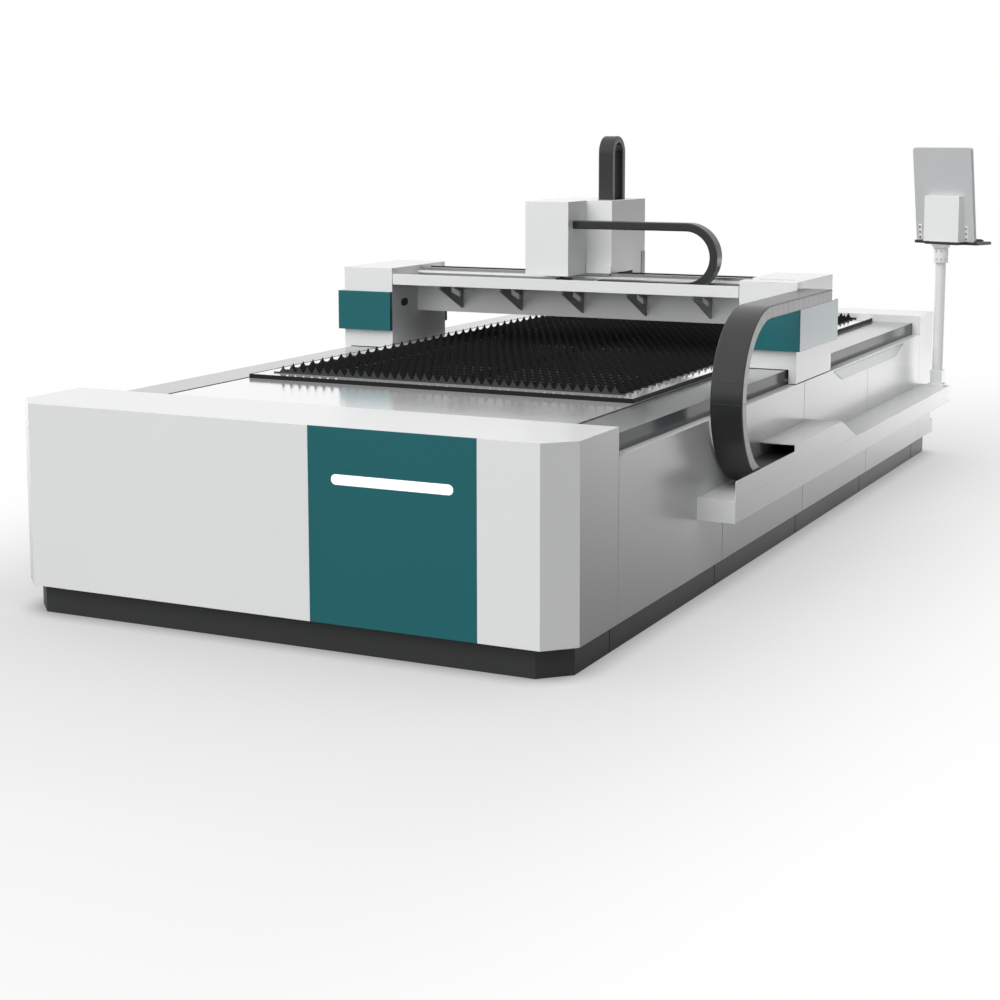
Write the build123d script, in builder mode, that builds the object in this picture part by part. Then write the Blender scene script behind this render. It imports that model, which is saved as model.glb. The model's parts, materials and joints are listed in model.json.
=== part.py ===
from build123d import *
import os
from math import cos, radians, sin, tan

# Flat-bed laser cutting machine, in millimetres. The origin is on the floor at the middle of the bed,
# +X is to the right, +Y runs from the plain front end to the operator's end, +Z is up.

# Cabinet
body_width = 2200
body_length = 4856
half_width = body_width / 2
front_y = -body_length / 2
rear_y = body_length / 2
housing_top = 766
front_housing_depth = 410
rear_housing_depth = 291
corner_chamfer = 95
sheet = 4
plinth_top = 103
plinth_bottom = 2
plinth_recess = 30
plinth_wall = 6
sill_inset = 100
sill_height = 6
deck_front_y = front_y + front_housing_depth
deck_rear_y = rear_y - rear_housing_depth
deck_length = deck_rear_y - deck_front_y
panel_count = 4
panel_pitch = deck_length / panel_count
panel_seam = 4
panel_sheet = 4
ledge_drop = 99
ledge_top = housing_top - ledge_drop
ledge_width = 42
ledge_inner_x = half_width - ledge_width

# Coloured panel on the front face and the light bar in it
accent_width = 625
accent_margin = 315
accent_right_x = half_width - accent_margin
accent_left_x = accent_right_x - accent_width
light_bar_shift = 2.5
light_bar_x = (accent_left_x + accent_right_x) / 2 + light_bar_shift
light_bar_drop = 173
light_bar_z = housing_top - light_bar_drop
light_bar_margin = 86.5
light_bar_length = accent_width - 2 * light_bar_margin
light_bar_height = 35

# Tapered strip on each side
strip_drop = 9
strip_top_z = ledge_top - strip_drop
strip_height = 52
strip_bottom_z = strip_top_z - strip_height
strip_margin = 354
strip_length = 1280
strip_front_taper = 141
strip_rear_taper = 153
strip_top_rear_y = deck_rear_y - strip_margin
strip_top_front_y = strip_top_rear_y - strip_length
strip_bottom_front_y = strip_top_front_y + strip_front_taper
strip_bottom_rear_y = strip_top_rear_y - strip_rear_taper
strip_sheet = 2

# Welded frame, rail covers and deck
deck_side_margin = 250
deck_half_width = half_width - deck_side_margin
beam_setback = 30
beam_side_gap = 50
beam_inner_x = deck_half_width + beam_setback
beam_outer_x = half_width - beam_side_gap
beam_bottom = plinth_top + sill_height
beam_drop = 27
beam_top = ledge_top - beam_drop
beam_end_gap = 8
cross_width = 100
cross_height = 160
cross_bottom = beam_top - cross_height
cross_count = 5
cross_end_inset = 97.5
cross_pitch = (deck_length - 2 * cross_end_inset) / (cross_count - 1)
deck_drop = 38
deck_top = housing_top - deck_drop
deck_sheet = 6
slot_width = 16
cover_inner_x = deck_half_width + slot_width
cover_flange = 45
scrap_lift = 41
scrap_bottom = beam_bottom + scrap_lift
scrap_sheet = 8
scrap_end_inset = 120
foot_x = (beam_inner_x + beam_outer_x) / 2
foot_radius = 45
foot_height = 16
foot_stem_radius = 16
foot_count = 5
foot_end_inset = 177.5
foot_pitch = (deck_length - 2 * foot_end_inset) / (foot_count - 1)
anchor_hole_radius = 7
anchor_shift = 30
anchor_offset_y = foot_pitch * (foot_count - 1) / 2 - anchor_shift

# Long guide rails and racks on the frame beams
y_rail_inset = 153
y_rail_x = half_width - y_rail_inset
y_rail_width = 34
y_rail_height = 29
y_rail_end_inset = 30
y_rack_setback = 8
y_rack_inner_x = beam_inner_x + y_rack_setback
y_rack_width = 16
y_rack_height = 50

# Slats in their low frame, and the well under them
slat_frame_margin = 5
slat_frame_half_width = deck_half_width - slat_frame_margin
slat_frame_front_gap = 755
slat_frame_rear_gap = 8
slat_frame_front_y = deck_front_y + slat_frame_front_gap
slat_frame_rear_y = deck_rear_y - slat_frame_rear_gap
slat_bar = 5
slat_bar_height = 17
slat_trim_width = 4
slat_rim_height = 16
slat_count = 43
slat_front_gap = 85
slat_rear_gap = 80
slat_first_y = slat_frame_front_y + slat_front_gap
slat_pitch = (slat_frame_rear_y - slat_rear_gap - slat_first_y) / (slat_count - 1)
slat_end_gap = 65
slat_half_length = slat_frame_half_width - slat_end_gap
slat_sheet = 4
slat_height = 48
slat_tooth_height = 26
slat_bottom = deck_top + slat_rim_height
slat_tip = deck_top + slat_height
slat_valley = slat_tip - slat_tooth_height
slat_tooth_count = 26
slat_end_flat = 25
slat_tooth_pitch = 2 * (slat_half_length - slat_end_flat) / slat_tooth_count
well_front_gap = 285
well_rear_gap = 207
well_side_gap = 210
well_front_y = slat_frame_front_y + well_front_gap
well_rear_y = slat_frame_rear_y - well_rear_gap
well_half_width = deck_half_width - well_side_gap
post_half_width = 20
post_x = (well_half_width + deck_half_width) / 2
center_bar_half_width = 20

# Gantry's place along the bed, and its towers
tower_front_y = -72
tower_length = 524
tower_rear_y = tower_front_y + tower_length
tower_setback = 5
tower_inner_x = deck_half_width - tower_setback
tower_height = 372
tower_top = deck_top + tower_height
tower_gap = 2
tower_skirt_gap = 4
tower_inner_bottom = deck_top + tower_gap
tower_skirt_bottom = ledge_top + tower_skirt_gap
tower_skirt_width = 32
tower_skirt_x = half_width - tower_skirt_width
tower_sheet = 4
band_proud = 22
band_drop = 110
band_height = 180
band_top = tower_top - band_drop
band_bottom = band_top - band_height
tower_port_length = 70
tower_port_height = 36
tower_port_inset = 120
tower_port_drop = 165
tower_port_y = tower_front_y + tower_port_inset
tower_port_z = tower_top - tower_port_drop
blade_gap = 3
blade_sheet = 10
blade_drop = 80
blade_inner_x = deck_half_width + blade_gap
blade_outer_x = blade_inner_x + blade_sheet
blade_top = tower_top - blade_drop
saddle_reach = 45
saddle_lift = 56
saddle_sheet = 14
saddle_outer_x = y_rail_x + saddle_reach
saddle_bottom = beam_top + saddle_lift
saddle_top = saddle_bottom + saddle_sheet
shelf_side_gap = 60
shelf_lift = 17
shelf_sheet = 12
shelf_outer_x = half_width - shelf_side_gap
shelf_bottom = deck_top + shelf_lift
shelf_top = shelf_bottom + shelf_sheet
saddle_inset = 32
saddle_length = 180
front_saddle_start_y = tower_front_y + saddle_inset
front_saddle_end_y = front_saddle_start_y + saddle_length
rear_saddle_end_y = tower_rear_y - saddle_inset
rear_saddle_start_y = rear_saddle_end_y - saddle_length
y_block_half_width = 40
y_block_length = 130
y_block_lift = 12
y_block_bottom = beam_top + y_block_lift
slide_gap = 0.5
y_motor_offset = 55
y_motor_x = deck_half_width + y_motor_offset
y_motor_y = (front_saddle_end_y + rear_saddle_start_y) / 2
y_motor_half = 50
y_motor_drop = 140
y_motor_top = tower_top - y_motor_drop
y_gearbox_height = 43
y_gearbox_top = shelf_top + y_gearbox_height
y_shaft_offset = 7.5
y_shaft_x = deck_half_width + y_shaft_offset
y_shaft_radius = 5
y_pinion_radius = 30
y_pinion_height = 30
y_pinion_top = beam_top + y_rack_height
y_pinion_bottom = y_pinion_top - y_pinion_height

# Cable tray along the right side
tray_width = 148
tray_outer_x = half_width + tray_width
tray_drop = 271
tray_height = 84
tray_top = ledge_top - tray_drop
tray_bottom = tray_top - tray_height
tray_front_gap = 752
tray_rear_gap = 206
tray_front_y = deck_front_y + tray_front_gap
tray_rear_y = rear_y - tray_rear_gap
tray_wall_height = 71
tray_wall_top = tray_top + tray_wall_height
tray_wall_inset = 6
tray_wall_front_y = tray_front_y + tray_wall_inset

# Large chain beside the bed, and the tunnel over its lower run
y_chain_side_gap = 12
y_chain_width = 125
y_chain_inner_x = half_width + y_chain_side_gap
y_chain_outer_x = y_chain_inner_x + y_chain_width
y_chain_thickness = 50
y_chain_lift = 1
y_chain_drop = 27
y_chain_outer_radius = (tower_top - y_chain_drop - tray_top - y_chain_lift) / 2
y_chain_bend_z = tray_top + y_chain_lift + y_chain_outer_radius
y_chain_end_inset = 47
y_chain_upper_run = 813
y_chain_moving_end_y = tower_front_y + y_chain_end_inset
y_chain_bend_y = y_chain_moving_end_y - y_chain_upper_run
y_chain_fixed_shift = 36.5
y_chain_fixed_end_y = (deck_front_y + deck_rear_y) / 2 + y_chain_fixed_shift
chain_bracket_length = 36
chain_bracket_inset = 5
tunnel_front_run = 638
tunnel_roof_run = 31
tunnel_slope_run = 242
tunnel_height = 99
tunnel_front_y = y_chain_fixed_end_y - tunnel_front_run
tunnel_roof_end_y = y_chain_fixed_end_y + tunnel_roof_run
tunnel_slope_end_y = tunnel_roof_end_y + tunnel_slope_run
tunnel_top = tray_top + tunnel_height

# Cable box low at the rear
cable_box_width = 100
cable_box_depth = 62
cable_box_bottom = 100
cable_box_top = 170

# Gantry beam, chain trough and gussets
gantry_beam_front_gap = 246
gantry_beam_rear_gap = 30
gantry_beam_front_y = tower_front_y + gantry_beam_front_gap
gantry_beam_rear_y = tower_rear_y - gantry_beam_rear_gap
gantry_beam_drop = 25
gantry_beam_height = 189
gantry_beam_top = tower_top - gantry_beam_drop
gantry_beam_bottom = gantry_beam_top - gantry_beam_height
trough_end_gap = 3
trough_half_length = tower_inner_x - trough_end_gap
trough_lip_height = 50
trough_lip_top = gantry_beam_top
trough_lip_bottom = trough_lip_top - trough_lip_height
trough_floor_lift = 3
trough_floor_sheet = 6
trough_floor_bottom = trough_lip_bottom + trough_floor_lift
trough_floor_top = trough_floor_bottom + trough_floor_sheet
trough_lip = 6
gusset_sheet = 10
gusset_left_margin = 237
gusset_right_margin = 211
gusset_count = 5
gusset_first_x = -trough_half_length + gusset_left_margin
gusset_pitch = (trough_half_length - gusset_right_margin - gusset_first_x) / (gusset_count - 1)
gusset_lift = 19
gusset_tip_height = 16
gusset_tip_inset = 17
gusset_low_z = gantry_beam_bottom + gusset_lift
gusset_tip_z = trough_floor_bottom - gusset_tip_height
gusset_tip_y = tower_front_y + gusset_tip_inset
window_back_rib = 20
window_tip_rib = 108
window_top_rib = 8
gusset_window_height = 30
gusset_window_fall = 37
gusset_window_corner = 8
gusset_window_back_y = gantry_beam_front_y - window_back_rib
gusset_window_tip_y = gusset_tip_y + window_tip_rib
gusset_window_top_z = trough_floor_bottom - window_top_rib
x_rail_front_inset = 33
x_rail_rear_inset = 122
x_rail_front_y = gantry_beam_front_y + x_rail_front_inset
x_rail_rear_y = gantry_beam_rear_y - x_rail_rear_inset
x_rail_width = 20
x_rail_height = 14
x_rail_end_gap = 10
x_rail_half_length = tower_inner_x - x_rail_end_gap
x_rack_depth = 12
x_rack_drop = 9
x_rack_height = 24
x_rack_top = gantry_beam_top - x_rack_drop
x_rack_bottom = x_rack_top - x_rack_height

# Carriage's place across the gantry, and its covers
drive_cover_left_x = -181
drive_cover_width = 210
drive_cover_right_x = drive_cover_left_x + drive_cover_width
drive_cover_inset = 44
drive_cover_front_y = tower_front_y + drive_cover_inset
drive_cover_lift = 12
drive_cover_bottom = gantry_beam_top + drive_cover_lift
head_cover_overlap = 25
head_cover_width = 360
head_cover_left_x = drive_cover_left_x - head_cover_overlap
head_cover_right_x = head_cover_left_x + head_cover_width
head_cover_setback = 1
head_cover_overhang = 155
head_cover_front_y = gantry_beam_front_y + head_cover_setback
head_cover_rear_y = gantry_beam_rear_y + head_cover_overhang
head_cover_lift = 16
head_cover_bottom = gantry_beam_top + head_cover_lift
cover_skirt_gap = 8
cover_skirt_drop = 61
cover_skirt_bottom = head_cover_bottom - cover_skirt_drop
cover_lip_gap = 3
cover_lip_depth = 10
cover_lip_height = 36
covers_rise = 343
covers_top = gantry_beam_top + covers_rise
carriage_overhang = 10
carriage_lift = 37
carriage_sheet = 18
carriage_rear_y = gantry_beam_rear_y + carriage_overhang
carriage_bottom = gantry_beam_top + carriage_lift
carriage_top = carriage_bottom + carriage_sheet
x_block_half_length = 45
x_block_half_width = 26
x_block_lift = 4
x_block_inset = 61
x_block_bottom = gantry_beam_top + x_block_lift
x_block_left_x = head_cover_left_x + x_block_inset
x_block_right_x = head_cover_right_x - x_block_inset
x_motor_x = (drive_cover_left_x + drive_cover_right_x) / 2
x_motor_half = 40
x_motor_height = 180
x_motor_top = carriage_top + x_motor_height
x_pinion_radius = 28
x_shaft_radius = 10
x_shaft_hole_radius = 16
x_motor_shift = 15.5
x_pinion_y = gantry_beam_front_y - x_rack_depth - x_pinion_radius - slide_gap
x_motor_y = x_pinion_y - x_motor_shift
window_depth = 44
window_sheet = 2
window_lift = 20
window_height = 122
window_bottom = cover_skirt_bottom + window_lift
window_top = window_bottom + window_height

# Chain from the gantry to the carriage, and the channel for its bend in the right tower
x_chain_inset = 94
x_chain_width = 70
x_chain_front_y = tower_front_y + x_chain_inset
x_chain_rear_y = x_chain_front_y + x_chain_width
x_chain_outer_radius = 148
x_chain_thickness = 36
x_chain_lift = 3
x_chain_bend_z = trough_floor_top + x_chain_lift + x_chain_outer_radius
x_chain_upper_run = 533
x_chain_bend_x = drive_cover_right_x + x_chain_upper_run
x_chain_fixed_shift = 121
x_chain_fixed_end_x = drive_cover_right_x + x_chain_fixed_shift
x_bracket_length = 12
channel_gap = 12
channel_side_gap = 38
channel_front_y = x_chain_front_y - channel_gap
channel_rear_y = x_chain_rear_y + channel_gap
channel_end_x = half_width - channel_side_gap
channel_sheet = 3

# Chain above the head cover
z_axis_shift = 34
z_axis_x = (head_cover_left_x + head_cover_right_x) / 2 - z_axis_shift
z_chain_offset = 90
z_chain_width = 70
z_chain_left_x = z_axis_x + z_chain_offset
z_chain_right_x = z_chain_left_x + z_chain_width
z_chain_inset = 37.5
z_chain_bend_y = gantry_beam_rear_y - z_chain_inset
z_chain_outer_radius = 78
z_chain_thickness = 32
z_chain_inner_radius = z_chain_outer_radius - z_chain_thickness
z_chain_rise = 290
z_chain_top = covers_top + z_chain_rise
z_slot_gap = 6

# Lifting axis and laser head
back_plate_left_reach = 90
back_plate_right_reach = 88
back_plate_left_x = z_axis_x - back_plate_left_reach
back_plate_right_x = z_axis_x + back_plate_right_reach
back_plate_sheet = 15
back_plate_fall = 182
back_plate_rise = 184
back_plate_bottom = carriage_bottom - back_plate_fall
back_plate_top = carriage_bottom + back_plate_rise
z_rail_offset = 62
z_rail_width = 15
z_rail_depth = 14
z_rail_bottom_gap = 10
z_rail_top_gap = 6
z_rail_bottom = back_plate_bottom + z_rail_bottom_gap
z_rail_top = back_plate_top - z_rail_top_gap
z_plate_gap = 38
z_plate_sheet = 15
z_plate_front_y = carriage_rear_y + z_plate_gap
z_plate_rear_y = z_plate_front_y + z_plate_sheet
z_plate_left_reach = 82
z_plate_right_reach = 112
z_plate_left_x = z_axis_x - z_plate_left_reach
z_plate_right_x = z_axis_x + z_plate_right_reach
z_plate_lift = 70
z_plate_height = 250
z_plate_bottom = back_plate_bottom + z_plate_lift
z_plate_top = z_plate_bottom + z_plate_height
z_block_half_width = 18
z_block_height = 55
z_block_gap = 4
z_low_block_lift = 10
z_high_block_lift = 170
z_low_block_bottom = z_plate_bottom + z_low_block_lift
z_high_block_bottom = z_plate_bottom + z_high_block_lift
z_motor_half = 30
z_motor_height = 109
z_motor_top = back_plate_top + z_motor_height
screw_offset = 27
screw_y = carriage_rear_y + screw_offset
screw_radius = 7
screw_lift = 20
screw_bottom = back_plate_bottom + screw_lift
nut_half_width = 20
nut_half_depth = 10
nut_front_y = screw_y - nut_half_depth
nut_lift = 100
nut_height = 45
nut_bottom = z_plate_bottom + nut_lift
nut_top = nut_bottom + nut_height
nut_hole_radius = 8
head_half_width = 45
head_depth = 78
head_fall = 15
head_height = 205
head_bottom = z_plate_bottom - head_fall
head_top = head_bottom + head_height
collimator_radius = 26
collimator_height = 90
collimator_top = head_top + collimator_height
lens_barrel_radius = 32
lens_barrel_height = 75
lens_barrel_bottom = head_bottom - lens_barrel_height
nozzle_offset = 40
nozzle_axis_y = z_plate_rear_y + nozzle_offset
nozzle_top_radius = 22
nozzle_tip_radius = 4
nozzle_bore_radius = 1.5
nozzle_height = 55
nozzle_tip = lens_barrel_bottom - nozzle_height
nozzle_collar = 17
chain_arm_width = 20
chain_arm_height = 50
chain_arm_left_x = z_plate_right_x - chain_arm_width
chain_arm_front_y = z_chain_bend_y + z_chain_inner_radius
chain_arm_top = z_plate_top + chain_arm_height

# Operator console on its pole
pole_offset = 90
pole_rear_gap = 50
pole_x = half_width + pole_offset
pole_y = tray_rear_y - pole_rear_gap
pole_radius = 27.5
pole_height = 653
pole_top = tray_top + pole_height
pole_foot = 84
pole_foot_sheet = 14
pole_foot_top = tray_top + pole_foot_sheet
pole_clamp = 62
pole_clamp_height = 71
turn_gap = 0.4
spigot_radius = 18
spigot_height = 69
spigot_gap = 0.6
spigot_top = pole_top + spigot_height
collar_radius = 38
collar_cap = 6.4
collar_bottom = pole_top + turn_gap
collar_bore_top = spigot_top + spigot_gap
collar_top = collar_bore_top + collar_cap
collar_flange_radius = 54
collar_flange_neck = 43
collar_flange_height = 20
console_shelf_bottom = collar_top + collar_flange_height
console_turn = -22
console_shelf_sheet = 15
console_shelf_top = console_shelf_bottom + console_shelf_sheet
shelf_width = 392
shelf_back_n = 32
shelf_depth = 141
shelf_front_n = shelf_back_n + shelf_depth
shelf_corner = 12
shelf_arm_inset = 4
monitor_tilt = 6.8
monitor_width = 358
monitor_corner = 15
monitor_height = 490
monitor_setback = 3
monitor_back_n = shelf_back_n + monitor_setback
monitor_depth = 20
monitor_foot = 6
bezel = 18
screen_bottom = 92
screen_sheet = 3
back_box_width = 214
back_box_shift = 14
back_box_depth = 62
back_box_height = 238
back_box_n = monitor_back_n - back_box_depth
back_box_top = console_shelf_top + back_box_height
keyboard_width = 300
keyboard_depth = 62
keyboard_height = 8
keyboard_gap = 41
keyboard_n = shelf_front_n - keyboard_gap
button_inset = 57.5
button_u = monitor_width / 2 - button_inset
button_h = screen_bottom / 2
button_radius = 20
button_height = 16
button_stem_radius = 8
button_travel_gap = 8
button_hole_gap = 0.4
button_stem_length = 10
button_hole_depth = 17

y_chain_inner_radius = y_chain_outer_radius - y_chain_thickness
x_chain_inner_radius = x_chain_outer_radius - x_chain_thickness

os.makedirs("parts", exist_ok=True)


def block(x0, x1, y0, y1, z0, z1, mode=Mode.ADD):
    """Adds or cuts a straight block between two corners."""
    with Locations(((x0 + x1) / 2, (y0 + y1) / 2, (z0 + z1) / 2)):
        Box(x1 - x0, y1 - y0, z1 - z0, mode=mode)


# Plinth: one skirting ring with a sill on top that carries the frame and the panels
with BuildPart() as plinth:
    with BuildSketch(Plane.XY.offset(plinth_bottom)) as plinth_ring:
        Rectangle(body_width - 2 * plinth_recess, body_length - 2 * plinth_recess)
        chamfer(plinth_ring.vertices().sort_by(Axis.Y)[:2], length=corner_chamfer)
        offset(amount=-plinth_wall, mode=Mode.SUBTRACT)
    extrude(amount=plinth_top - plinth_bottom)
    with BuildSketch(Plane.XY.offset(plinth_top)) as sill_ring:
        Rectangle(body_width - 2 * sheet, body_length - 2 * sheet)
        chamfer(sill_ring.vertices().sort_by(Axis.Y)[:2], length=corner_chamfer)
        Rectangle(body_width - 2 * sill_inset, body_length - 2 * sill_inset, mode=Mode.SUBTRACT)
    extrude(amount=sill_height)
plinth.part.label = "plinth"
export_step(plinth.part, "parts/plinth.step")

# Front housing: folded cover, open below, closed behind above the deck, with a gap for the coloured panel
with BuildPart() as front_housing:
    with BuildSketch(Plane.XY.offset(plinth_top)) as front_outline:
        with Locations((0, (front_y + deck_front_y) / 2)):
            Rectangle(body_width, front_housing_depth)
        chamfer(front_outline.vertices().sort_by(Axis.Y)[:2], length=corner_chamfer)
    extrude(amount=housing_top - plinth_top)
    front_open = [
        front_housing.faces().sort_by(Axis.Z)[0],
        front_housing.faces().sort_by(Axis.Y)[-1],
    ]
    offset(amount=-sheet, openings=front_open)
    block(accent_left_x, accent_right_x, front_y, front_y + sheet, plinth_top, housing_top, Mode.SUBTRACT)
    block(-half_width, half_width, deck_front_y - sheet, deck_front_y, deck_top - sheet, housing_top)
    for end_x in (-half_width, ledge_inner_x):
        block(end_x, end_x + ledge_width, deck_front_y - sheet, deck_front_y, ledge_top, housing_top)
front_housing.part.label = "front_housing"
export_step(front_housing.part, "parts/front_housing.step")

# Coloured front panel with a round-ended opening for the light bar
with BuildPart() as front_accent_panel:
    block(accent_left_x, accent_right_x, front_y, front_y + sheet, plinth_top, housing_top)
    with BuildSketch(Plane.XZ.offset(-front_y)):
        with Locations((light_bar_x, light_bar_z)):
            SlotOverall(light_bar_length, light_bar_height)
    extrude(amount=-sheet, mode=Mode.SUBTRACT)
front_accent_panel.part.label = "front_accent_panel"
export_step(front_accent_panel.part, "parts/front_accent_panel.step")

with BuildPart() as front_light_bar:
    with BuildSketch(Plane.XZ.offset(-front_y)):
        with Locations((light_bar_x, light_bar_z)):
            SlotOverall(light_bar_length, light_bar_height)
    extrude(amount=-sheet)
front_light_bar.part.label = "front_light_bar"
export_step(front_light_bar.part, "parts/front_light_bar.step")

# Rear housing
with BuildPart() as rear_housing:
    with BuildSketch(Plane.XY.offset(plinth_top)):
        with Locations((0, (rear_y + deck_rear_y) / 2)):
            Rectangle(body_width, rear_housing_depth)
    extrude(amount=housing_top - plinth_top)
    rear_open = [
        rear_housing.faces().sort_by(Axis.Z)[0],
        rear_housing.faces().sort_by(Axis.Y)[0],
    ]
    offset(amount=-sheet, openings=rear_open)
    block(-half_width, half_width, deck_rear_y, deck_rear_y + sheet, deck_top - sheet, housing_top)
    for end_x in (-half_width, ledge_inner_x):
        block(end_x, end_x + ledge_width, deck_rear_y, deck_rear_y + sheet, ledge_top, housing_top)
rear_housing.part.label = "rear_housing"
export_step(rear_housing.part, "parts/rear_housing.step")

# Side panels: four folded sheets a side, each with a ledge at the top
with BuildPart() as side_panels:
    with GridLocations(0, panel_pitch, 1, panel_count):
        with Locations((half_width - panel_sheet / 2, (deck_front_y + deck_rear_y) / 2, plinth_top)):
            Box(
                panel_sheet,
                panel_pitch - panel_seam,
                ledge_top - plinth_top,
                align=(Align.CENTER, Align.CENTER, Align.MIN),
            )
        with Locations(((half_width + ledge_inner_x) / 2, (deck_front_y + deck_rear_y) / 2, ledge_top)):
            Box(
                half_width - ledge_inner_x,
                panel_pitch - panel_seam,
                panel_sheet,
                align=(Align.CENTER, Align.CENTER, Align.MAX),
            )
    mirror(about=Plane.YZ)
side_panels.part.label = "side_panels"
export_step(side_panels.part, "parts/side_panels.step")

# Tapered strip on each side
with BuildPart() as side_strips:
    with BuildSketch(Plane.YZ.offset(half_width)):
        with BuildLine():
            Polyline(
                (strip_top_front_y, strip_top_z),
                (strip_bottom_front_y, strip_bottom_z),
                (strip_bottom_rear_y, strip_bottom_z),
                (strip_top_rear_y, strip_top_z),
                close=True,
            )
        make_face()
    extrude(amount=strip_sheet)
    mirror(about=Plane.YZ)
side_strips.part.label = "side_strips"
export_step(side_strips.part, "parts/side_strips.step")

# Welded frame beams, closed boxes along both sides
with BuildPart() as frame_beams:
    block(
        beam_inner_x,
        beam_outer_x,
        deck_front_y + beam_end_gap,
        deck_rear_y - beam_end_gap,
        beam_bottom,
        beam_top,
    )
    mirror(about=Plane.YZ)
frame_beams.part.label = "frame_beams"
export_step(frame_beams.part, "parts/frame_beams.step")

# Cross beams with posts that carry the deck
with BuildPart() as cross_beams:
    with Locations((0, (deck_front_y + deck_rear_y) / 2, cross_bottom)):
        with GridLocations(0, cross_pitch, 1, cross_count):
            Box(
                2 * beam_inner_x,
                cross_width,
                beam_top - cross_bottom,
                align=(Align.CENTER, Align.CENTER, Align.MIN),
            )
    with Locations((0, (deck_front_y + deck_rear_y) / 2, beam_top)):
        with GridLocations(post_x, cross_pitch, 3, cross_count):
            Box(
                2 * post_half_width,
                cross_width,
                deck_top - deck_sheet - beam_top,
                align=(Align.CENTER, Align.CENTER, Align.MIN),
            )
cross_beams.part.label = "cross_beams"
export_step(cross_beams.part, "parts/cross_beams.step")

# Deck: plates in front of, behind and beside the well, and a bar down its middle under the slats
with BuildPart() as deck_plates:
    block(-deck_half_width, deck_half_width, deck_front_y, deck_rear_y, deck_top - deck_sheet, deck_top)
    with Locations((0, (well_front_y + well_rear_y) / 2, deck_top - deck_sheet / 2)):
        with GridLocations(well_half_width + center_bar_half_width, 0, 2, 1):
            Box(
                well_half_width - center_bar_half_width,
                well_rear_y - well_front_y,
                deck_sheet,
                mode=Mode.SUBTRACT,
            )
deck_plates.part.label = "deck_plates"
export_step(deck_plates.part, "parts/deck_plates.step")

# Scrap tray at the bottom of the well
with BuildPart() as scrap_tray:
    block(
        -beam_inner_x,
        beam_inner_x,
        deck_front_y + scrap_end_inset,
        deck_rear_y - scrap_end_inset,
        scrap_bottom,
        scrap_bottom + scrap_sheet,
    )
scrap_tray.part.label = "scrap_tray"
export_step(scrap_tray.part, "parts/scrap_tray.step")

# Folded covers over the long rails, with a slot on the inner side for the gantry
with BuildPart() as rail_covers:
    block(cover_inner_x, ledge_inner_x, deck_front_y, deck_rear_y, deck_top - sheet, deck_top)
    block(ledge_inner_x - sheet, ledge_inner_x, deck_front_y, deck_rear_y, beam_top, deck_top)
    block(
        ledge_inner_x - cover_flange,
        ledge_inner_x,
        deck_front_y,
        deck_rear_y,
        beam_top,
        beam_top + sheet,
    )
    mirror(about=Plane.YZ)
rail_covers.part.label = "rail_covers"
export_step(rail_covers.part, "parts/rail_covers.step")

# Long guide rails and racks
rail_front_y = deck_front_y + y_rail_end_inset
rail_rear_y = deck_rear_y - y_rail_end_inset
with BuildPart() as y_rails:
    block(
        y_rail_x - y_rail_width / 2,
        y_rail_x + y_rail_width / 2,
        rail_front_y,
        rail_rear_y,
        beam_top,
        beam_top + y_rail_height,
    )
    mirror(about=Plane.YZ)
y_rails.part.label = "y_rails"
export_step(y_rails.part, "parts/y_rails.step")

with BuildPart() as y_racks:
    block(
        y_rack_inner_x,
        y_rack_inner_x + y_rack_width,
        rail_front_y,
        rail_rear_y,
        beam_top,
        beam_top + y_rack_height,
    )
    mirror(about=Plane.YZ)
y_racks.part.label = "y_racks"
export_step(y_racks.part, "parts/y_racks.step")

# Levelling feet under the frame beams; the corner ones have an anchor hole
with BuildPart() as leveling_feet:
    with GridLocations(2 * foot_x, foot_pitch, 2, foot_count):
        Cylinder(foot_radius, foot_height, align=(Align.CENTER, Align.CENTER, Align.MIN))
        Cylinder(foot_stem_radius, beam_bottom, align=(Align.CENTER, Align.CENTER, Align.MIN))
    with GridLocations(2 * foot_x, 2 * anchor_offset_y, 2, 2):
        Cylinder(
            anchor_hole_radius,
            foot_height,
            align=(Align.CENTER, Align.CENTER, Align.MIN),
            mode=Mode.SUBTRACT,
        )
leveling_feet.part.label = "leveling_feet"
export_step(leveling_feet.part, "parts/leveling_feet.step")

# Bar across the bed in front of the slats, and a narrow trim down each side of their plate
with BuildPart() as slat_frame:
    block(
        -slat_frame_half_width,
        slat_frame_half_width,
        slat_frame_front_y,
        slat_frame_rear_y,
        deck_top,
        deck_top + slat_bar_height,
    )
    block(
        -slat_frame_half_width + slat_trim_width,
        slat_frame_half_width - slat_trim_width,
        slat_frame_front_y + slat_bar,
        slat_frame_rear_y,
        deck_top,
        deck_top + slat_bar_height,
        Mode.SUBTRACT,
    )
slat_frame.part.label = "slat_frame"
export_step(slat_frame.part, "parts/slat_frame.step")

# Plate that the slats rest on, open over the well
with BuildPart() as slat_rim:
    block(
        -slat_frame_half_width + slat_trim_width,
        slat_frame_half_width - slat_trim_width,
        slat_frame_front_y + slat_bar,
        slat_frame_rear_y,
        deck_top,
        slat_bottom,
    )
    with Locations((0, (well_front_y + well_rear_y) / 2, (deck_top + slat_bottom) / 2)):
        with GridLocations(well_half_width + center_bar_half_width, 0, 2, 1):
            Box(
                well_half_width - center_bar_half_width,
                well_rear_y - well_front_y,
                slat_rim_height,
                mode=Mode.SUBTRACT,
            )
slat_rim.part.label = "slat_rim"
export_step(slat_rim.part, "parts/slat_rim.step")

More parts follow.
